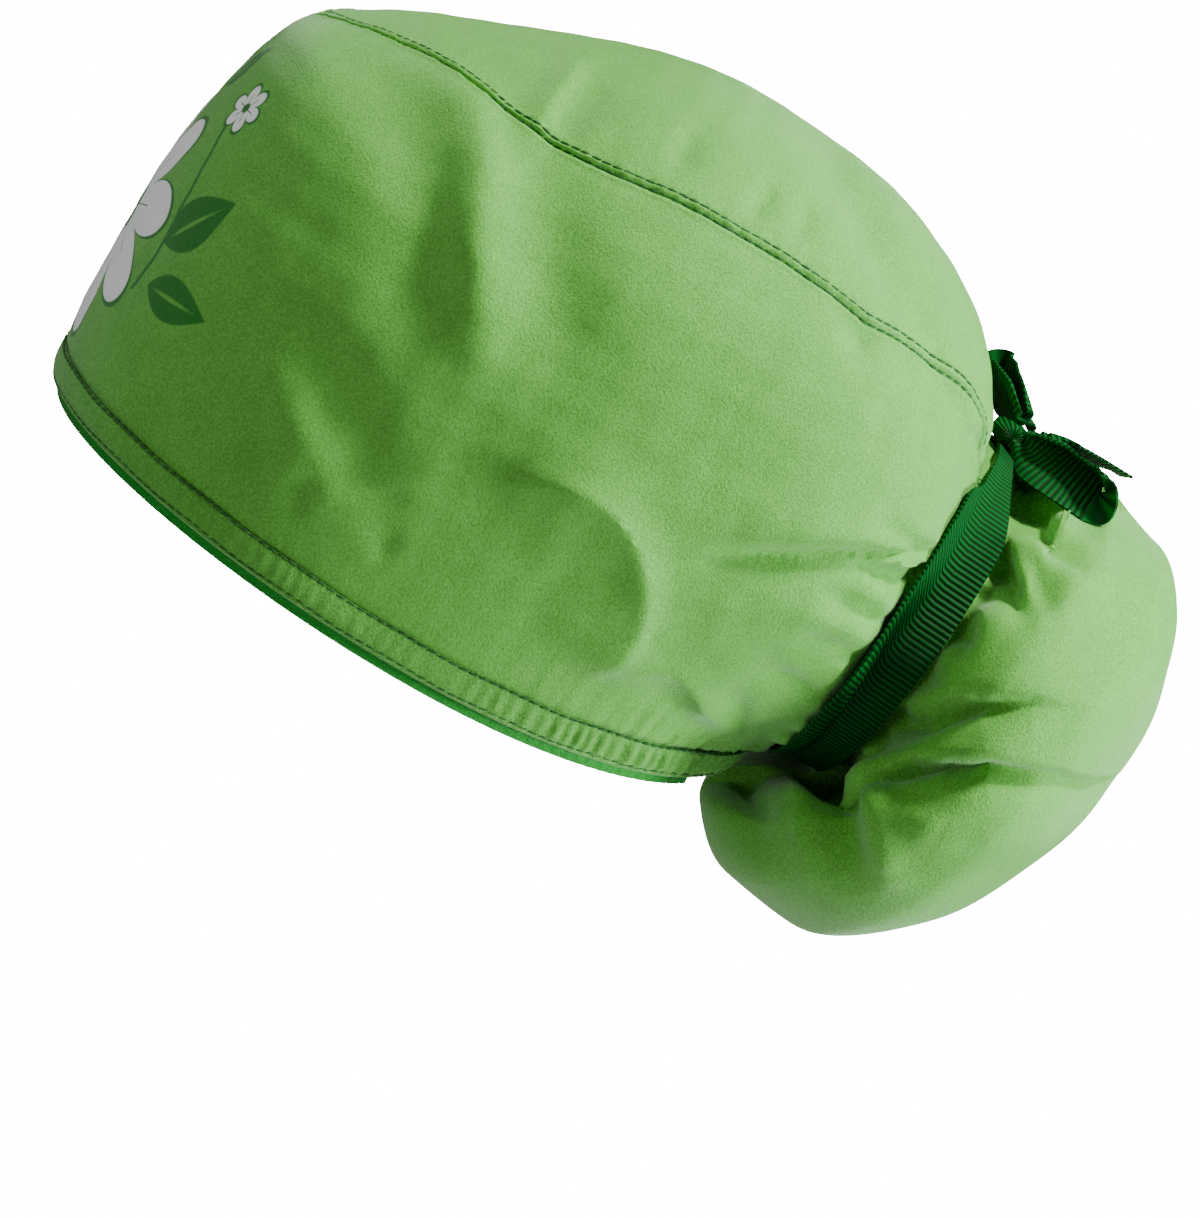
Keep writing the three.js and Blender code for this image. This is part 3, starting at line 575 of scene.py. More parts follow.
def side_panel_points(half_steps, seam_steps, rows):
    step = np.arange(0, half_steps + 1)
    bottom_angle = math.pi * step / half_steps
    bottom_turn = turn_from_hem(bottom_angle, HEM_HEIGHT - HEM_TUCK)
    share = 1 - (1 - np.minimum(step / seam_steps, 1)) ** 1.3
    top_angle, top_turn = seam(share, SEAM_GAP / 2)
    past = np.maximum(0, step - seam_steps) / (half_steps - seam_steps)
    corner = top_angle[seam_steps]
    top_angle = np.where(step > seam_steps, corner + past * (math.pi - corner), top_angle)
    top_turn = np.where(step > seam_steps, 1, top_turn)
    top_turn = np.minimum(top_turn, mouth_turn(top_angle, SEAM_GAP / 2))
    up = (1 - (1 - np.linspace(0, 1, rows + 1)) ** 1.35)[:, None]
    angle = bottom_angle + (top_angle - bottom_angle) * up**3.2
    turn = bottom_turn + (top_turn - bottom_turn) * up
    angle = np.concatenate([angle, -angle[:, -2:0:-1]], axis=1)
    turn = np.concatenate([turn, turn[:, -2:0:-1]], axis=1)
    return angle, turn


HALF_STEPS = 200
SEAM_STEPS = 122
SIDE_ROWS = 112
side_angle, side_turn = side_panel_points(HALF_STEPS, SEAM_STEPS, SIDE_ROWS)
side_points = crown_cloth(side_angle, side_turn)
side_normal = crown_normal(side_angle, side_turn)
seam_line = crown(*seam(np.linspace(0, 1, 1200), SEAM_GAP / 2))
seam_run = run_length(seam_line)
smooth = crown(side_angle, side_turn)
smooth[..., 0] = np.abs(smooth[..., 0])
from_seam, along_seam = np.full(side_angle.shape, 99.0), np.zeros(side_angle.shape)
for i, row in enumerate(smooth):
    gap = np.linalg.norm(row[:, None] - seam_line[None], axis=-1)
    from_seam[i], along_seam[i] = gap.min(axis=1), seam_run[gap.argmin(axis=1)]
side_points = seam_relief(side_points, side_normal, from_seam, along_seam, ())
side_step = np.linalg.norm(np.diff(side_points, axis=0), axis=-1)
side_up = np.concatenate([np.zeros((1, 2 * HALF_STEPS)), np.cumsum(side_step, axis=0)])
side_points -= 1.1 * side_normal * (1 - ease(side_up, 0.7, 2.2))[..., None]
side_step = np.linalg.norm(np.diff(side_points, axis=1), axis=-1)
side_run = np.concatenate([np.zeros((SIDE_ROWS + 1, 1)), np.cumsum(side_step, axis=1)], axis=1)
half_run = side_run[:, HALF_STEPS : HALF_STEPS + 1]
past_half = np.arange(2 * HALF_STEPS) > HALF_STEPS
side_around = np.where(past_half, side_run - 2 * half_run, side_run)
side_uv = np.stack([side_around, side_up], -1)
side_panel = sheet_mesh("side_panel_cloth", side_points, True, CLOTH, side_uv)


def reckon(tree, operation, *values):
    """One step of arithmetic in a material."""
    node = tree.nodes.new("ShaderNodeMath")
    node.operation = operation
    for socket, value in zip(node.inputs, values):
        if isinstance(value, (int, float)):
            socket.default_value = value
        else:
            tree.links.new(value, socket)
    return node.outputs[0]


def within(tree, value, limit, soft=0.25):
    """1 where a value is under a limit, with an edge as soft as printed ink."""
    past = reckon(tree, "SUBTRACT", limit, value)
    node = tree.nodes.new("ShaderNodeMapRange")
    node.inputs["From Min"].default_value = -soft
    node.inputs["From Max"].default_value = soft
    tree.links.new(past, node.inputs["Value"])
    return node.outputs["Result"]


def turned(tree, u, v, centre, angle):
    """Places on the cloth measured from a motif's own centre and along its own axes."""
    x, y = reckon(tree, "SUBTRACT", u, centre[0]), reckon(tree, "SUBTRACT", v, centre[1])
    c, s = math.cos(math.radians(angle)), math.sin(math.radians(angle))
    along = reckon(tree, "ADD", reckon(tree, "MULTIPLY", x, c), reckon(tree, "MULTIPLY", y, s))
    aside = reckon(tree, "SUBTRACT", reckon(tree, "MULTIPLY", y, c), reckon(tree, "MULTIPLY", x, s))
    return along, aside


def blossom(tree, u, v, centre, radius, petals, angle, line):
    """A round flower: the place of its white petals and of its drawn outline."""
    x, y = turned(tree, u, v, centre, angle)
    out = reckon(tree, "SQRT", reckon(tree, "MULTIPLY_ADD", x, x, reckon(tree, "MULTIPLY", y, y)))
    turn = reckon(tree, "MULTIPLY", reckon(tree, "ARCTAN2", y, x), petals / 2)
    lobe = reckon(tree, "POWER", reckon(tree, "ABSOLUTE", reckon(tree, "COSINE", turn)), 0.5)
    edge = reckon(tree, "MULTIPLY_ADD", lobe, radius * 0.58, radius * 0.42)
    petal = within(tree, out, edge)
    rim = within(tree, reckon(tree, "ABSOLUTE", reckon(tree, "SUBTRACT", out, edge)), line)
    eye = within(tree, out, radius * 0.2)
    vein = reckon(tree, "MULTIPLY", reckon(tree, "ABSOLUTE", reckon(tree, "SINE", turn)), out)
    vein = within(tree, vein, line * 0.8)
    vein = reckon(tree, "MULTIPLY", vein, within(tree, out, radius * 0.55))
    drawn = reckon(tree, "MAXIMUM", reckon(tree, "MAXIMUM", rim, eye), vein)
    return petal, drawn


def leaf(tree, u, v, base, length, half_width, angle):
    """A pointed leaf in solid ink, with its middle vein left bare."""
    x, y = turned(tree, u, v, base, angle)
    share = reckon(tree, "DIVIDE", x, length)
    share = reckon(tree, "MINIMUM", reckon(tree, "MAXIMUM", share, 0.0), 1.0)
    swell = reckon(tree, "MULTIPLY", reckon(tree, "POWER", share, 0.8), math.pi)
    swell = reckon(tree, "SINE", swell)
    aside = reckon(tree, "ABSOLUTE", y)
    body = within(tree, aside, reckon(tree, "MULTIPLY_ADD", swell, half_width, -0.3))
    bare = within(tree, aside, reckon(tree, "MULTIPLY_ADD", swell, 1.1, -0.6))
    return reckon(tree, "SUBTRACT", body, bare)


def stem(tree, u, v, centre, radius, line, top, bottom):
    """Part of a ring in solid ink, between two heights."""
    x, y = turned(tree, u, v, centre, 0)
    out = reckon(tree, "SQRT", reckon(tree, "MULTIPLY_ADD", x, x, reckon(tree, "MULTIPLY", y, y)))
    ring = within(tree, reckon(tree, "ABSOLUTE", reckon(tree, "SUBTRACT", out, radius)), line)
    above = reckon(tree, "SUBTRACT", 1, within(tree, v, bottom))
    span = reckon(tree, "MULTIPLY", within(tree, v, top), above)
    ring = reckon(tree, "MULTIPLY", ring, reckon(tree, "GREATER_THAN", x, 0.0))
    return reckon(tree, "MULTIPLY", ring, span)


# The front carries a plain flower print in white and dark green, laid out from the panel's
# own measures: millimetres round from the middle of the front and up from the hem's casing.
printed_green, grain = cloth_finish("printed_green", *CAP_COLOURS, 0.55, 0.5, 0.6, 0.3)
tree = printed_green.node_tree
place = tree.nodes.new("ShaderNodeUVMap")
place.uv_map = "cloth"
split = tree.nodes.new("ShaderNodeSeparateXYZ")
tree.links.new(place.outputs["UV"], split.inputs[0])
u, v = split.outputs["X"], split.outputs["Y"]
whites, inks = [], []
for centre, radius, petals, angle, line in [
    ((6, 38), 35, 9, 12, 0.8),
    ((-44, 26), 15, 7, 30, 0.6),
    ((40, 76), 7, 6, 0, 0.5),
    ((-38, 78), 8, 6, 20, 0.5),
]:
    white, ink = blossom(tree, u, v, centre, radius, petals, angle, line)
    whites.append(white)
    inks.append(ink)
for base, length, half_width, angle in [
    ((44, 40), 26, 6.5, 48),
    ((46, 30), 24, 5.5, 8),
    ((-24, 64), 20, 5, 66),
    ((-54, 44), 20, 5, 100),
    ((14, 74), 18, 4.5, 66),
]:
    inks.append(leaf(tree, u, v, base, length, half_width, angle))
inks.append(stem(tree, u, v, (-6, 46), 50, 0.6, 70, 26))
white, ink = whites[0], inks[0]
for other in whites[1:]:
    white = reckon(tree, "MAXIMUM", white, other)
for other in inks[1:]:
    ink = reckon(tree, "MAXIMUM", ink, other)
shade = grain.outputs["Color"]
for share, colour in ((white, (0.93, 0.97, 0.93, 1)), (ink, (0.0, 0.17, 0.0, 1))):
    mix = tree.nodes.new("ShaderNodeMix")
    mix.data_type = "RGBA"
    mix.inputs["B"].default_value = colour
    tree.links.new(share, mix.inputs["Factor"])
    tree.links.new(shade, mix.inputs["A"])
    shade = mix.outputs["Result"]
tree.links.new(shade, tree.nodes["Principled BSDF"].inputs["Base Color"])

side_panel.data.materials.append(printed_green)
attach(side_panel, "root")
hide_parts("side_panel_left", "side_panel_right")

# Hem casing
# A strip of the same cloth folded over narrow elastic and stitched along both of its edges.
# The elastic draws it into small crosswise puckers, close and deep behind the ears.
HEM_WALL = 2.2
# The casing's green is the cap's cloth made a little darker: painted shade on the hem.
HEM_SHADED_COLOURS = ((0.13, 0.49, 0.05), (0.045, 0.25, 0.012))
hem_green, _ = cloth_finish("hem_green", *HEM_SHADED_COLOURS, 0.55, 0.6, 0.65, 0.3)

hem_angle = np.linspace(0, 2 * math.pi, 1400, endpoint=False)
hem_up = np.linspace(0, 1, 15)[:, None]


def hem_face(angle, up):
    angle, up = np.broadcast_arrays(angle, up)
    turn = turn_from_hem(angle, up * (HEM_HEIGHT - SEAM_GAP / 2))
    arc = np.sin(math.pi * up)
    rolled = 0.3 + 0.55 * arc**0.6 + 0.5 * hem_wave(angle) * arc
    rolled = rolled - 0.8 * np.exp(-((up / 0.05) ** 2)) - 0.5 * np.exp(-(((1 - up) / 0.05) ** 2))
    rolled = rolled - 0.4 * np.exp(-(((up - 0.16) / 0.05) ** 2))
    return crown(angle, turn) + crown_normal(angle, turn) * rolled[..., None]


hem_band = sheet_mesh("hem_band_cloth", hem_face(hem_angle, hem_up), True, HEM_WALL - 0.4)
hem_band.data.materials.append(hem_green)
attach(hem_band, "root")
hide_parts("hem_band")

# Sweatband
# A narrow knitted tape in bright green, sewn inside the front and sides of the hem. A thin
# edge of it shows below the casing.
TAPE_HEIGHT = 12
TAPE_SHOW = 2.6
TAPE_WALL = 1.2
TAPE_INSET = 0.05
TAPE_COLOURS = ((0.01, 0.38, 0.02), (0.002, 0.17, 0.004))
tape_green, _ = cloth_finish("tape_green", *TAPE_COLOURS, 0.4, 0.6, 0.7, 0.1)

tape_angle = np.radians(152) * np.linspace(-1, 1, 700)
tape_up = np.linspace(0, 1, 13)[:, None]


def tape_face(angle, up):
    angle, up = np.broadcast_arrays(angle, up)
    height = up * TAPE_HEIGHT - TAPE_SHOW
    turn = turn_from_hem(angle, np.maximum(0, height))
    below = np.cross(fan_direction(turn), np.array([-1.0, 0, 0]))
    place = crown(angle, turn) + below * np.maximum(0, -height)[..., None]
    wave = 0.12 * np.sin(170 * angle) * hem_pull(angle)
    return place + crown_normal(angle, turn) * (wave - HEM_WALL - TAPE_INSET)[..., None]


sweatband = sheet_mesh("sweatband_tape", tape_face(tape_angle, tape_up), False, TAPE_WALL)
sweatband.data.materials.append(tape_green)
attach(sweatband, "root")
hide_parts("sweatband")

# Stitches
# Dark green thread: two close rows along the seam of the oval panel, one in the ditch and one
# beside it, and a row along each edge of the hem casing, all machine stitched.
STITCH_PITCH = 2.7
THREAD_COLOURS = ((0.02, 0.16, 0.02), (0.006, 0.07, 0.006))
thread_green, _ = cloth_finish("thread_green", *THREAD_COLOURS, 0.3, 0.5, 0.6, 0.1)

bpy.ops.object.select_all(action="DESELECT")
bpy.ops.mesh.primitive_uv_sphere_add(segments=6, ring_count=6, radius=1)
one_stitch = bpy.context.object
bpy.ops.object.mode_set(mode="EDIT")
bpy.ops.mesh.select_all(action="SELECT")
bpy.ops.transform.resize(value=(0.27, 0.3, 1.28))
bpy.ops.object.mode_set(mode="OBJECT")
stitch_shape = np.array([corner.co for corner in one_stitch.data.vertices])
stitch_faces = [tuple(face.vertices) for face in one_stitch.data.polygons]
bpy.data.objects.remove(one_stitch)


def stitches(line, normal, sideways, size=1.0):
    """Thread along a line of points in millimetres, one stitch after another."""
    run = run_length(line)
    places = np.arange(STITCH_PITCH / 2, run[-1], STITCH_PITCH)
    start = np.stack([np.interp(places - 1, run, line[:, i]) for i in range(3)], -1)
    end = np.stack([np.interp(places + 1, run, line[:, i]) for i in range(3)], -1)
    out = np.stack([np.interp(places, run, normal[:, i]) for i in range(3)], -1)
    along = end - start
    along /= np.linalg.norm(along, axis=1, keepdims=True)
    across = np.cross(out, along)
    across /= np.linalg.norm(across, axis=1, keepdims=True)
    out = np.cross(along, across)
    middle = (start + end) / 2
    middle = middle + across * (sideways * np.sin(places * 2.1))[:, None]
    lean = along + across * 0.07
    shape = stitch_shape * np.array([size, size, 1])
    return (
        middle[:, None]
        + shape[None, :, :1] * across[:, None]
        + shape[None, :, 1:2] * out[:, None]
        + shape[None, :, 2:] * lean[:, None]
    )


rows_of_thread = []
for side in (1, -1):
    share = np.linspace(0.0, 0.995, 900)
    for inward, sunk, size in ((0.3, 0.6, 1.3), (SEAM_STITCH_ROWS[1], 0.1, 1.2)):
        angle, turn = seam(share, -inward)
        angle = side * angle
        row = crown_cloth(angle, turn) - sunk * crown_normal(angle, turn)
        rows_of_thread.append(stitches(row, crown_normal(angle, turn), 0.12, size))
hem_line = np.linspace(0, 2 * math.pi, 2400)
for up, lift, size in ((0.16, 0.1, 1.0), (0.985, 0.35, 1.25)):
    row = hem_face(hem_line, np.full_like(hem_line, up))
    normal = crown_normal(hem_line, 0 * hem_line)
    rows_of_thread.append(stitches(row + normal * lift, normal, 0.18, size))
all_stitches = np.concatenate(rows_of_thread)
count = len(stitch_shape)
thread_mesh = bpy.data.meshes.new("seam_thread")
thread_mesh.from_pydata(
    (all_stitches.reshape(-1, 3) * MM).tolist(),
    [],
    [tuple(k + i * count for k in face) for i in range(len(all_stitches)) for face in stitch_faces],
)
seam_thread = bpy.data.objects.new("seam_thread", thread_mesh)
bpy.context.collection.objects.link(seam_thread)
bpy.ops.object.select_all(action="DESELECT")
seam_thread.select_set(True)
bpy.context.view_layer.objects.active = seam_thread
bpy.ops.object.shade_smooth()
seam_thread.data.materials.append(thread_green)
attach(seam_thread, "root")

# Pouch
# A bag of the cap's cloth for long hair, gathered all round to the crown's mouth and tied
# there. It hangs from the ribbon, so its pleats fan out from the neck and die away.
POUCH_DEPTH = 70
POUCH_HALF_HEIGHT = 66
POUCH_HALF_WIDTH = 70
RIBBON_WIDTH = 15
mouth = follow(CROWN_ROWS, 1.0)
MOUTH_FAR = mouth[0] * HEM_LENGTH
MOUTH_HALF_HEIGHT = (MOUTH_FAR - NAPE_RADIUS) / 2
MOUTH_HALF_WIDTH = mouth[1] * HALF_WIDTH
MOUTH_UP = fan_direction(1.0)
MOUTH_OUT = -np.cross([1.0, 0, 0], MOUTH_UP)
MOUTH_CENTRE = MOUTH_UP * (MOUTH_FAR + NAPE_RADIUS) / 2 - HEAD_TOP
NECK = (0, MOUTH_HALF_HEIGHT / POUCH_HALF_HEIGHT, MOUTH_HALF_WIDTH / POUCH_HALF_WIDTH)

POUCH_ROWS = [
    # along, depth at the sides, further at the top, further at the nape, drop, tall, wide
    (0, 0, 0, 0, *NECK),
    (0.08, RIBBON_WIDTH / 2 / POUCH_DEPTH, 0, 0, *NECK),
    (0.13, 0.128, 0.027, -0.005, 0, 0.716, 0.735),
    (0.19, 0.165, 0.055, -0.165, 0.005, 0.775, 0.82),
    (0.26, 0.22, 0.105, -0.356, 0.067, 0.842, 0.9),
    (0.34, 0.3, 0.11, -0.45, 0.136, 0.909, 0.96),
    (0.44, 0.42, 0.1, -0.377, 0.236, 0.969, 0.99),
    (0.55, 0.575, 0.078, -0.232, 0.262, 0.959, 0.95),
    (0.67, 0.725, 0.092, -0.1, 0.228, 0.793, 0.81),
    (0.79, 0.842, 0.071, -0.035, 0.18, 0.553, 0.59),
    (0.9, 0.94, 0.038, -0.01, 0.129, 0.29, 0.33),
    (1, 1, 0, 0, 0.09, 0, 0),
]

PLEATS = [
    # angle and half width in degrees, depth in millimetres, reach along the pouch
    (20, 6, 3.5, 0.3),
    (34, 4, 3.0, 0.26),
    (66, 4, 3.0, 0.24),
    (80, 4, 2.5, 0.22),
    (97, 4, 2.5, 0.22),
    (126, 4, 3.0, 0.24),
    (176, 5, 4.0, 0.34),
    (-14, 7, 6.0, 0.34),
    (-38, 7, 6.5, 0.42),
    (-62, 6, 5.0, 0.36),
    (-84, 6, 5.0, 0.5),
    (-106, 7, 5.5, 0.55),
    (-128, 7, 6.0, 0.45),
    (-150, 6, 6.5, 0.4),
]
POUCH_FOLDS = [
    # side, form, width, height, then places behind and above the top of the head
    (1, "soft", 2.8, 1.6, (103, -107), (105, -111), (106, -116), (108, -120), (111, -126)),
    (1, "soft", 2.8, -1.6, (105, -112), (104, -116), (100, -119), (96, -121)),
    (1, "soft", 3.2, 1.8, (107, -111), (113, -113), (118, -117), (122, -121), (126, -122)),
    (1, "pleat", 5.5, -5.0, (105, -101), (112, -107), (118, -113), (124, -118), (130, -123)),
    (1, "soft", 4, 1.6, (110, -102), (117, -105), (123, -110), (127, -116)),
    (1, "soft", 3.6, -2.6, (109, -115), (112, -120), (115, -126)),
    (1, "pleat", 3.2, -2.8, (101, -117), (106, -123), (110, -129)),
    (1, "soft", 2.4, -2.0, (95, -125), (95, -130), (93, -135)),
    (1, "tuck", 6, -6, (74, -156), (87, -148), (96, -145), (110, -145), (126, -150)),
    (1, "tuck", 7, -7, (66, -168), (80, -161), (100, -160), (117, -164), (138, -176)),
    (1, "soft", 4.5, 3.5, (69, -160), (73, -174), (77, -188)),
    (1, "soft", 5, 2.2, (70, -168), (78, -172), (88, -177)),
    (1, "pleat", 4.5, -6.5, (57, -150), (61, -168), (66, -184), (68, -196)),
    (1, "pleat", 4.5, -6.5, (52, -152), (46, -168), (44, -182), (47, -194)),
    (1, "soft", 3.5, 2.5, (56, -162), (58, -176), (58, -190)),
    (1, "pleat", 3.5, -6, (44, -156), (36, -168), (37, -182)),
    (1, "pleat", 2.2, -3.5, (74, -156), (87, -149), (96, -146), (110, -146)),
    (1, "pleat", 2.2, -3.5, (68, -166), (80, -161.5), (98, -161), (116, -165)),
    (1, "pleat", 4, -4.0, (92, -109), (103, -119), (114, -131)),
    (1, "soft", 7, -5, (102, -101), (113, -104), (123, -107), (133, -112)),
]


def pouch_point(angle, along):
    angle, along = np.broadcast_arrays(np.asarray(angle, float), np.asarray(along, float))
    row = follow(POUCH_ROWS, along)
    depth, at_top, at_nape, drop, tall, wide = (row[..., i] for i in range(6))
    to_top = np.maximum(0, np.cos(angle)) ** 1.5
    to_nape = np.maximum(0, -np.cos(angle)) ** 2
    out = (depth + at_top * to_top + at_nape * to_nape) * POUCH_DEPTH
    up = (tall * np.cos(angle) - drop) * POUCH_HALF_HEIGHT
    point = MOUTH_CENTRE + MOUTH_OUT * out[..., None] + MOUTH_UP * up[..., None]
    point[..., 0] += wide * POUCH_HALF_WIDTH * np.sin(angle)
    return point


def pouch_normal(angle, along):
    angle, along = np.broadcast_arrays(np.asarray(angle, float), np.asarray(along, float))
    normal = normal_of(pouch_point, angle, np.clip(along, 0.002, 0.96))
    share = ease(along, 0.94, 1)[..., None]
    normal = normal * (1 - share) + MOUTH_OUT * share
    return normal / np.linalg.norm(normal, axis=-1, keepdims=True)


def pouch_cloth(angle, along):
    smooth = pouch_point(angle, along)
    degrees = np.degrees(angle)
    open_cloth = ease(along, 0.08, 0.16)
    valley = ease(along, 0.01, 0.13)
    folds = fold_height(smooth, POUCH_FOLDS)
    lift = np.maximum(folds, 0) * open_cloth + np.minimum(folds, 0) * valley
    for centre, half, deep, reach in PLEATS:
        off = ((degrees - centre + 540) % 360 - 180) / half
        lift = lift - deep * valley * ease(reach - along, 0, reach * 0.8) * np.exp(-off * off)
    lift = lift - PUCKER_DEPTH * pucker(angle) * np.exp(-((along / 0.14) ** 2))
    lift = lift + 0.6 * drift(smooth, 18, 4) * open_cloth * (1 - ease(along, 0.85, 1))
    return smooth + pouch_normal(angle, along) * lift[..., None]


pouch_angle = np.linspace(0, 2 * math.pi, 420, endpoint=False)
pouch_along = (np.linspace(0, 1, 111) ** 1.15)[:, None]
pouch_points = pouch_cloth(pouch_angle, pouch_along)
pouch_points[0] += MOUTH_OUT * SEAM_GAP / 2
pouch = sheet_mesh("pony_pouch_cloth", pouch_points, True, CLOTH)
pouch.data.materials.append(cap_green)
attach(pouch, "root")
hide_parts("pony_pouch")

# Tie ribbon
# Grosgrain ribbon in deep green, 15 mm wide, round the neck of the pouch. Its crosswise ribs
# are firm, and it bunches towards the knot.
RIBBON_WALL = 1.0
RIBBON_SLACK = 0.85
RIB_PITCH = 1.45


def ribbon_finish(name):
    material = bpy.data.materials.new(name)
    material.use_nodes = True
    nodes, link = material.node_tree.nodes, material.node_tree.links.new
    shader = nodes["Principled BSDF"]
    shader.inputs["Roughness"].default_value = 0.6
    shader.inputs["Specular IOR Level"].default_value = 0.08
    place = nodes.new("ShaderNodeUVMap")
    place.uv_map = "cloth"
    split = nodes.new("ShaderNodeSeparateXYZ")
    link(place.outputs["UV"], split.inputs[0])
    turns = nodes.new("ShaderNodeMath")
    turns.operation = "MULTIPLY"
    turns.inputs[1].default_value = 2 * math.pi / RIB_PITCH
    link(split.outputs["X"], turns.inputs[0])
    rib = nodes.new("ShaderNodeMath")
    rib.operation = "SINE"
    link(turns.outputs[0], rib.inputs[0])
    height = nodes.new("ShaderNodeMapRange")
    height.inputs["From Min"].default_value = -1
    height.inputs["From Max"].default_value = 1
    link(rib.outputs[0], height.inputs["Value"])
    # The rib grooves are painted darker and the rib crests lighter: painted shade and highlight
    # across the ribs, laid over the rib bump.
    mix = nodes.new("ShaderNodeMix")
    mix.data_type = "RGBA"
    mix.inputs["A"].default_value = (0.0, 0.025, 0.002, 1)
    mix.inputs["B"].default_value = (0.0005, 0.105, 0.012, 1)
    link(height.outputs["Result"], mix.inputs["Factor"])
    link(mix.outputs["Result"], shader.inputs["Base Color"])
    bump = nodes.new("ShaderNodeBump")
    bump.inputs["Strength"].default_value = 0.9
    bump.inputs["Distance"].default_value = 0.4 * MM
    link(height.outputs["Result"], bump.inputs["Height"])
    link(bump.outputs["Normal"], shader.inputs["Normal"])
    return material


ribbon_green = ribbon_finish("ribbon_green")


def ribbon_face(angle, across):
    """The outer face of the tie: across runs from its crown edge (0) to its pouch edge (1)."""
    angle, across = np.broadcast_arrays(angle, across)
    width = 0.3 + 0.7 * ease(1 - np.cos(angle), 0, 0.4)
    offset = (across - 0.5) * RIBBON_WIDTH * width
    turn = mouth_turn(angle, np.maximum(0, -offset))
    place = crown(angle, turn) + MOUTH_OUT * np.maximum(0, offset)[..., None]
    normal = crown_normal(angle, np.minimum(turn, 0.996))
    stand_off = RIBBON_SLACK + RIBBON_WALL + 0.5 * ease(-np.cos(angle), 0.1, 0.6)
    return place + normal * stand_off[..., None]


tie_angle = np.linspace(0, 2 * math.pi, 900, endpoint=False)
tie_across = np.linspace(0, 1, 17)[:, None]
tie_points = ribbon_face(tie_angle, tie_across)
middle = tie_points[8]
tie_run = run_length(middle)
tie_uv = np.stack(np.broadcast_arrays(tie_run, tie_across * RIBBON_WIDTH), -1)
tie = sheet_mesh("tie_ribbon_cloth", tie_points, True, RIBBON_WALL - 0.2, tie_uv)
tie.data.materials.append(ribbon_green)
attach(tie, "root")
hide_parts("tie_ribbon")

# Bow
# The ribbon's two ends are tied at the top in a small bow: a flat knot, a loop to each side
# and two short tails. The near loop stands open, and the far one leans behind the crown.
BOW_UP = MOUTH_HALF_HEIGHT + RIBBON_SLACK + RIBBON_WALL + 0.35 + 3.5
KNOT = MOUTH_CENTRE + MOUTH_UP * BOW_UP + MOUTH_OUT * 1.5


def bow_direction(left, out, up):
    return np.array([left, 0, 0]) + MOUTH_OUT * out + MOUTH_UP * up


def bow_ribbon(name, path, spread_start, spread_end, both_ends, turn_over=(0.0, 1.0)):
    """A length of ribbon: its middle line from the knot, and the way its width lies."""
    rows = [(i / (len(path) - 1), *place) for i, place in enumerate(path)]
    along = np.linspace(0, 1, 121)
    place = follow(rows, along)
    line = KNOT + sum(place[:, i : i + 1] * bow_direction(*np.eye(3)[i]) for i in range(3))
    tangent = np.gradient(line, axis=0)
    tangent /= np.linalg.norm(tangent, axis=1, keepdims=True)
    share = ease(along, *turn_over)[:, None]
    spread = bow_direction(*spread_start) * (1 - share) + bow_direction(*spread_end) * share
    wide = spread - tangent * np.sum(spread * tangent, axis=1, keepdims=True)
    wide /= np.linalg.norm(wide, axis=1, keepdims=True)
    from_knot = np.minimum(along, 1 - along) if both_ends else along / 2
    width = RIBBON_WIDTH * (0.4 + 0.6 * ease(from_knot, 0, 0.16))
    normal = np.cross(tangent, wide)
    across = np.linspace(-0.5, 0.5, 13)[:, None]
    pinch = 1.1 * (1 - ease(from_knot, 0, 0.24))
    crimp = pinch * np.cos(3 * math.pi * across)
    points = line + wide * (across * width)[..., None] + normal * crimp[..., None]
    run = run_length(line)
    uv = np.stack(np.broadcast_arrays(run, (across + 0.5) * RIBBON_WIDTH), -1)
    piece = sheet_mesh(name, points, False, 0.6, uv)
    piece.data.materials.append(ribbon_green)
    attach(piece, "root")
    return piece


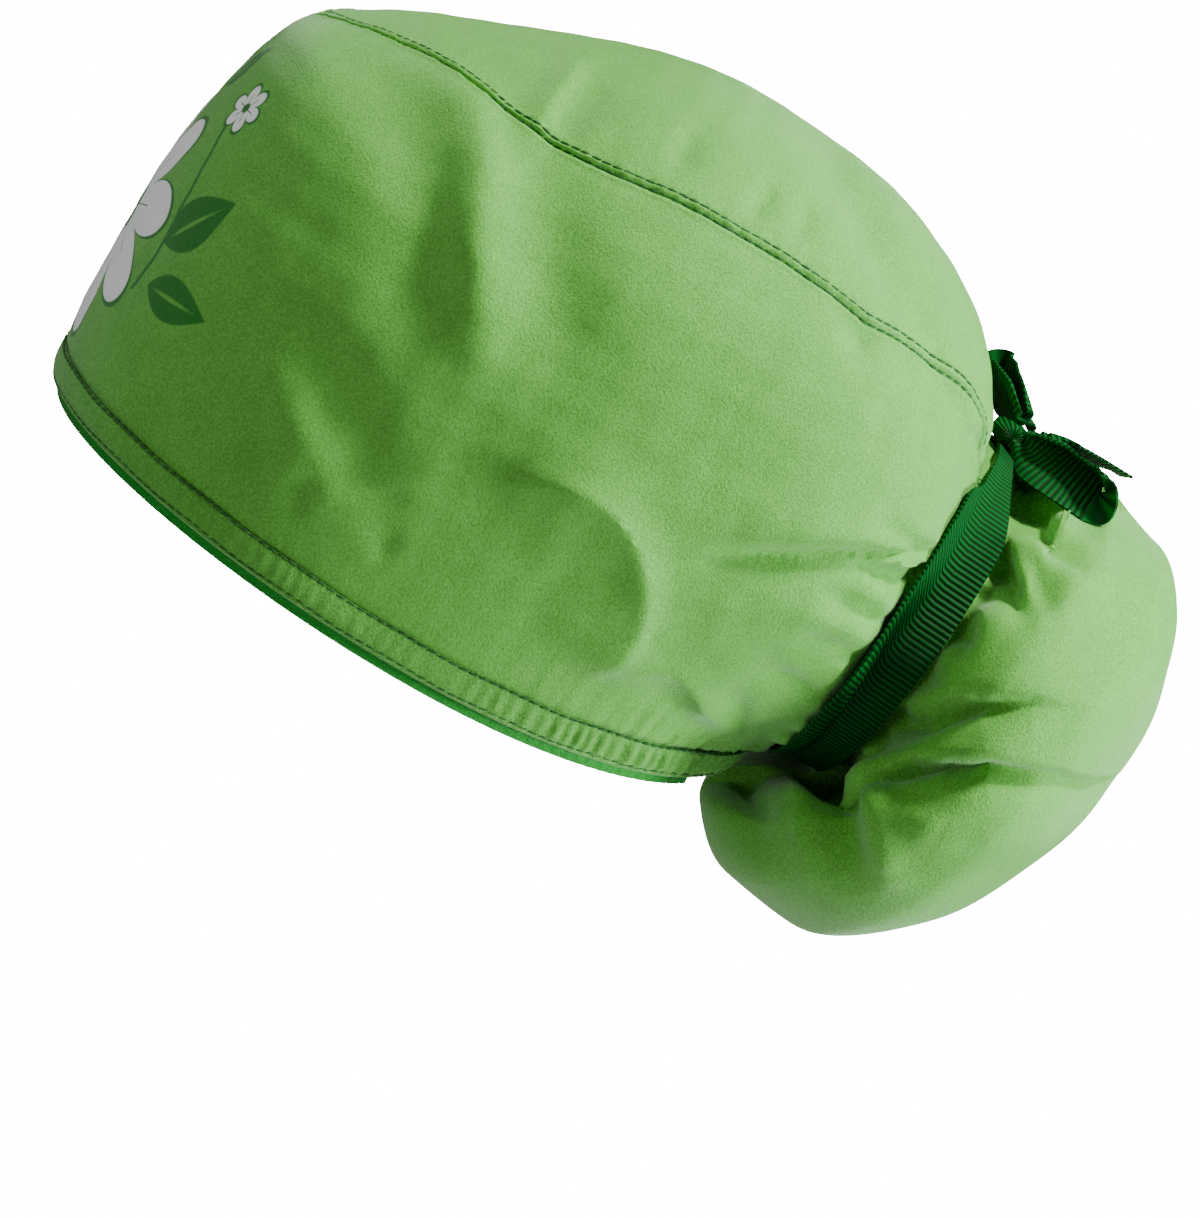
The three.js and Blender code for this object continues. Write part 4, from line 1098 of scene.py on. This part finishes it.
near_loop = bow_ribbon(
    "bow_loop_near_ribbon",
    [
        (4.0, 0.6, -0.4),
        (9.0, 5.0, -0.8),
        (13.2, 11.0, -1.0),
        (15.5, 17.0, -0.8),
        (16.4, 21.6, -0.8),
        (15.6, 23.2, 2.0),
        (12.6, 20.4, 4.0),
        (8.2, 13.0, 4.4),
        (4.4, 6.2, 3.4),
        (2.0, 2.6, 2.0),
    ],
    (0.66, 0, -0.75),
    (0.98, -0.12, 0.17),
    True,
    (0.45, 0.66),
)
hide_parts("bow_loop_near")
far_loop = bow_ribbon(
    "bow_loop_far_ribbon",
    [
        (-1.0, -0.4, 3.0),
        (-7.0, -4.0, 4.4),
        (-13.0, -7.2, 5.2),
        (-17.5, -9.4, 5.8),
        (-19.0, -8.2, 7.0),
        (-15.5, -4.4, 7.2),
        (-9.0, -1.4, 6.0),
        (-1.5, 0.8, 3.8),
    ],
    (0, -0.72, 0.69),
    (0, -0.72, 0.69),
    True,
)
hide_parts("bow_loop_far")
near_tail = bow_ribbon(
    "bow_tail_near_ribbon",
    [(-0.7, 6.1, 2.9), (-3.2, 13.0, 4.6), (-4.6, 20.9, 5.4), (-4.6, 28.8, 5.8)],
    (0.98, -0.12, 0.17),
    (0.98, -0.12, 0.17),
    False,
)
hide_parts("bow_tail_near")
far_tail = bow_ribbon(
    "bow_tail_far_ribbon",
    [(-5.0, 5.4, 0.7), (-11.2, 10.8, 1.6), (-16.9, 16.9, 2.2), (-20.9, 22.3, 2.0)],
    (1, 0, 0.25),
    (1, 0, 0.25),
    False,
)
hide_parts("bow_tail_far")

around = np.linspace(0, 2 * math.pi, 96, endpoint=False)
over = np.linspace(-math.pi / 2, math.pi / 2, 41)[:, None]
round_off = np.cos(over) ** 0.5
crease = 1 - 0.16 * np.exp(-((np.sin(over) / 0.3) ** 2)) * np.maximum(0, np.sin(around)) ** 2
crease = crease - 0.05 * np.sin(5 * around + 3 * over)
knot_points = (
    KNOT
    - MOUTH_OUT * 1.4
    - MOUTH_UP * 0.9
    + np.sin(over)[..., None] * 5.4 * np.array([1.0, 0, 0]) * np.ones((1, 96, 1))
    + MOUTH_OUT * (5.4 * round_off * crease * np.cos(around))[..., None]
    + MOUTH_UP * (3.3 * round_off * crease * np.sin(around))[..., None]
)
knot_uv = np.stack(np.broadcast_arrays(around * 4.6, np.sin(over) * 6.4 + 7.5), -1)
knot = sheet_mesh("bow_knot_ribbon", knot_points, True, 0.5, knot_uv)
knot.data.materials.append(ribbon_green)
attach(knot, "root")
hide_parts("bow_knot")
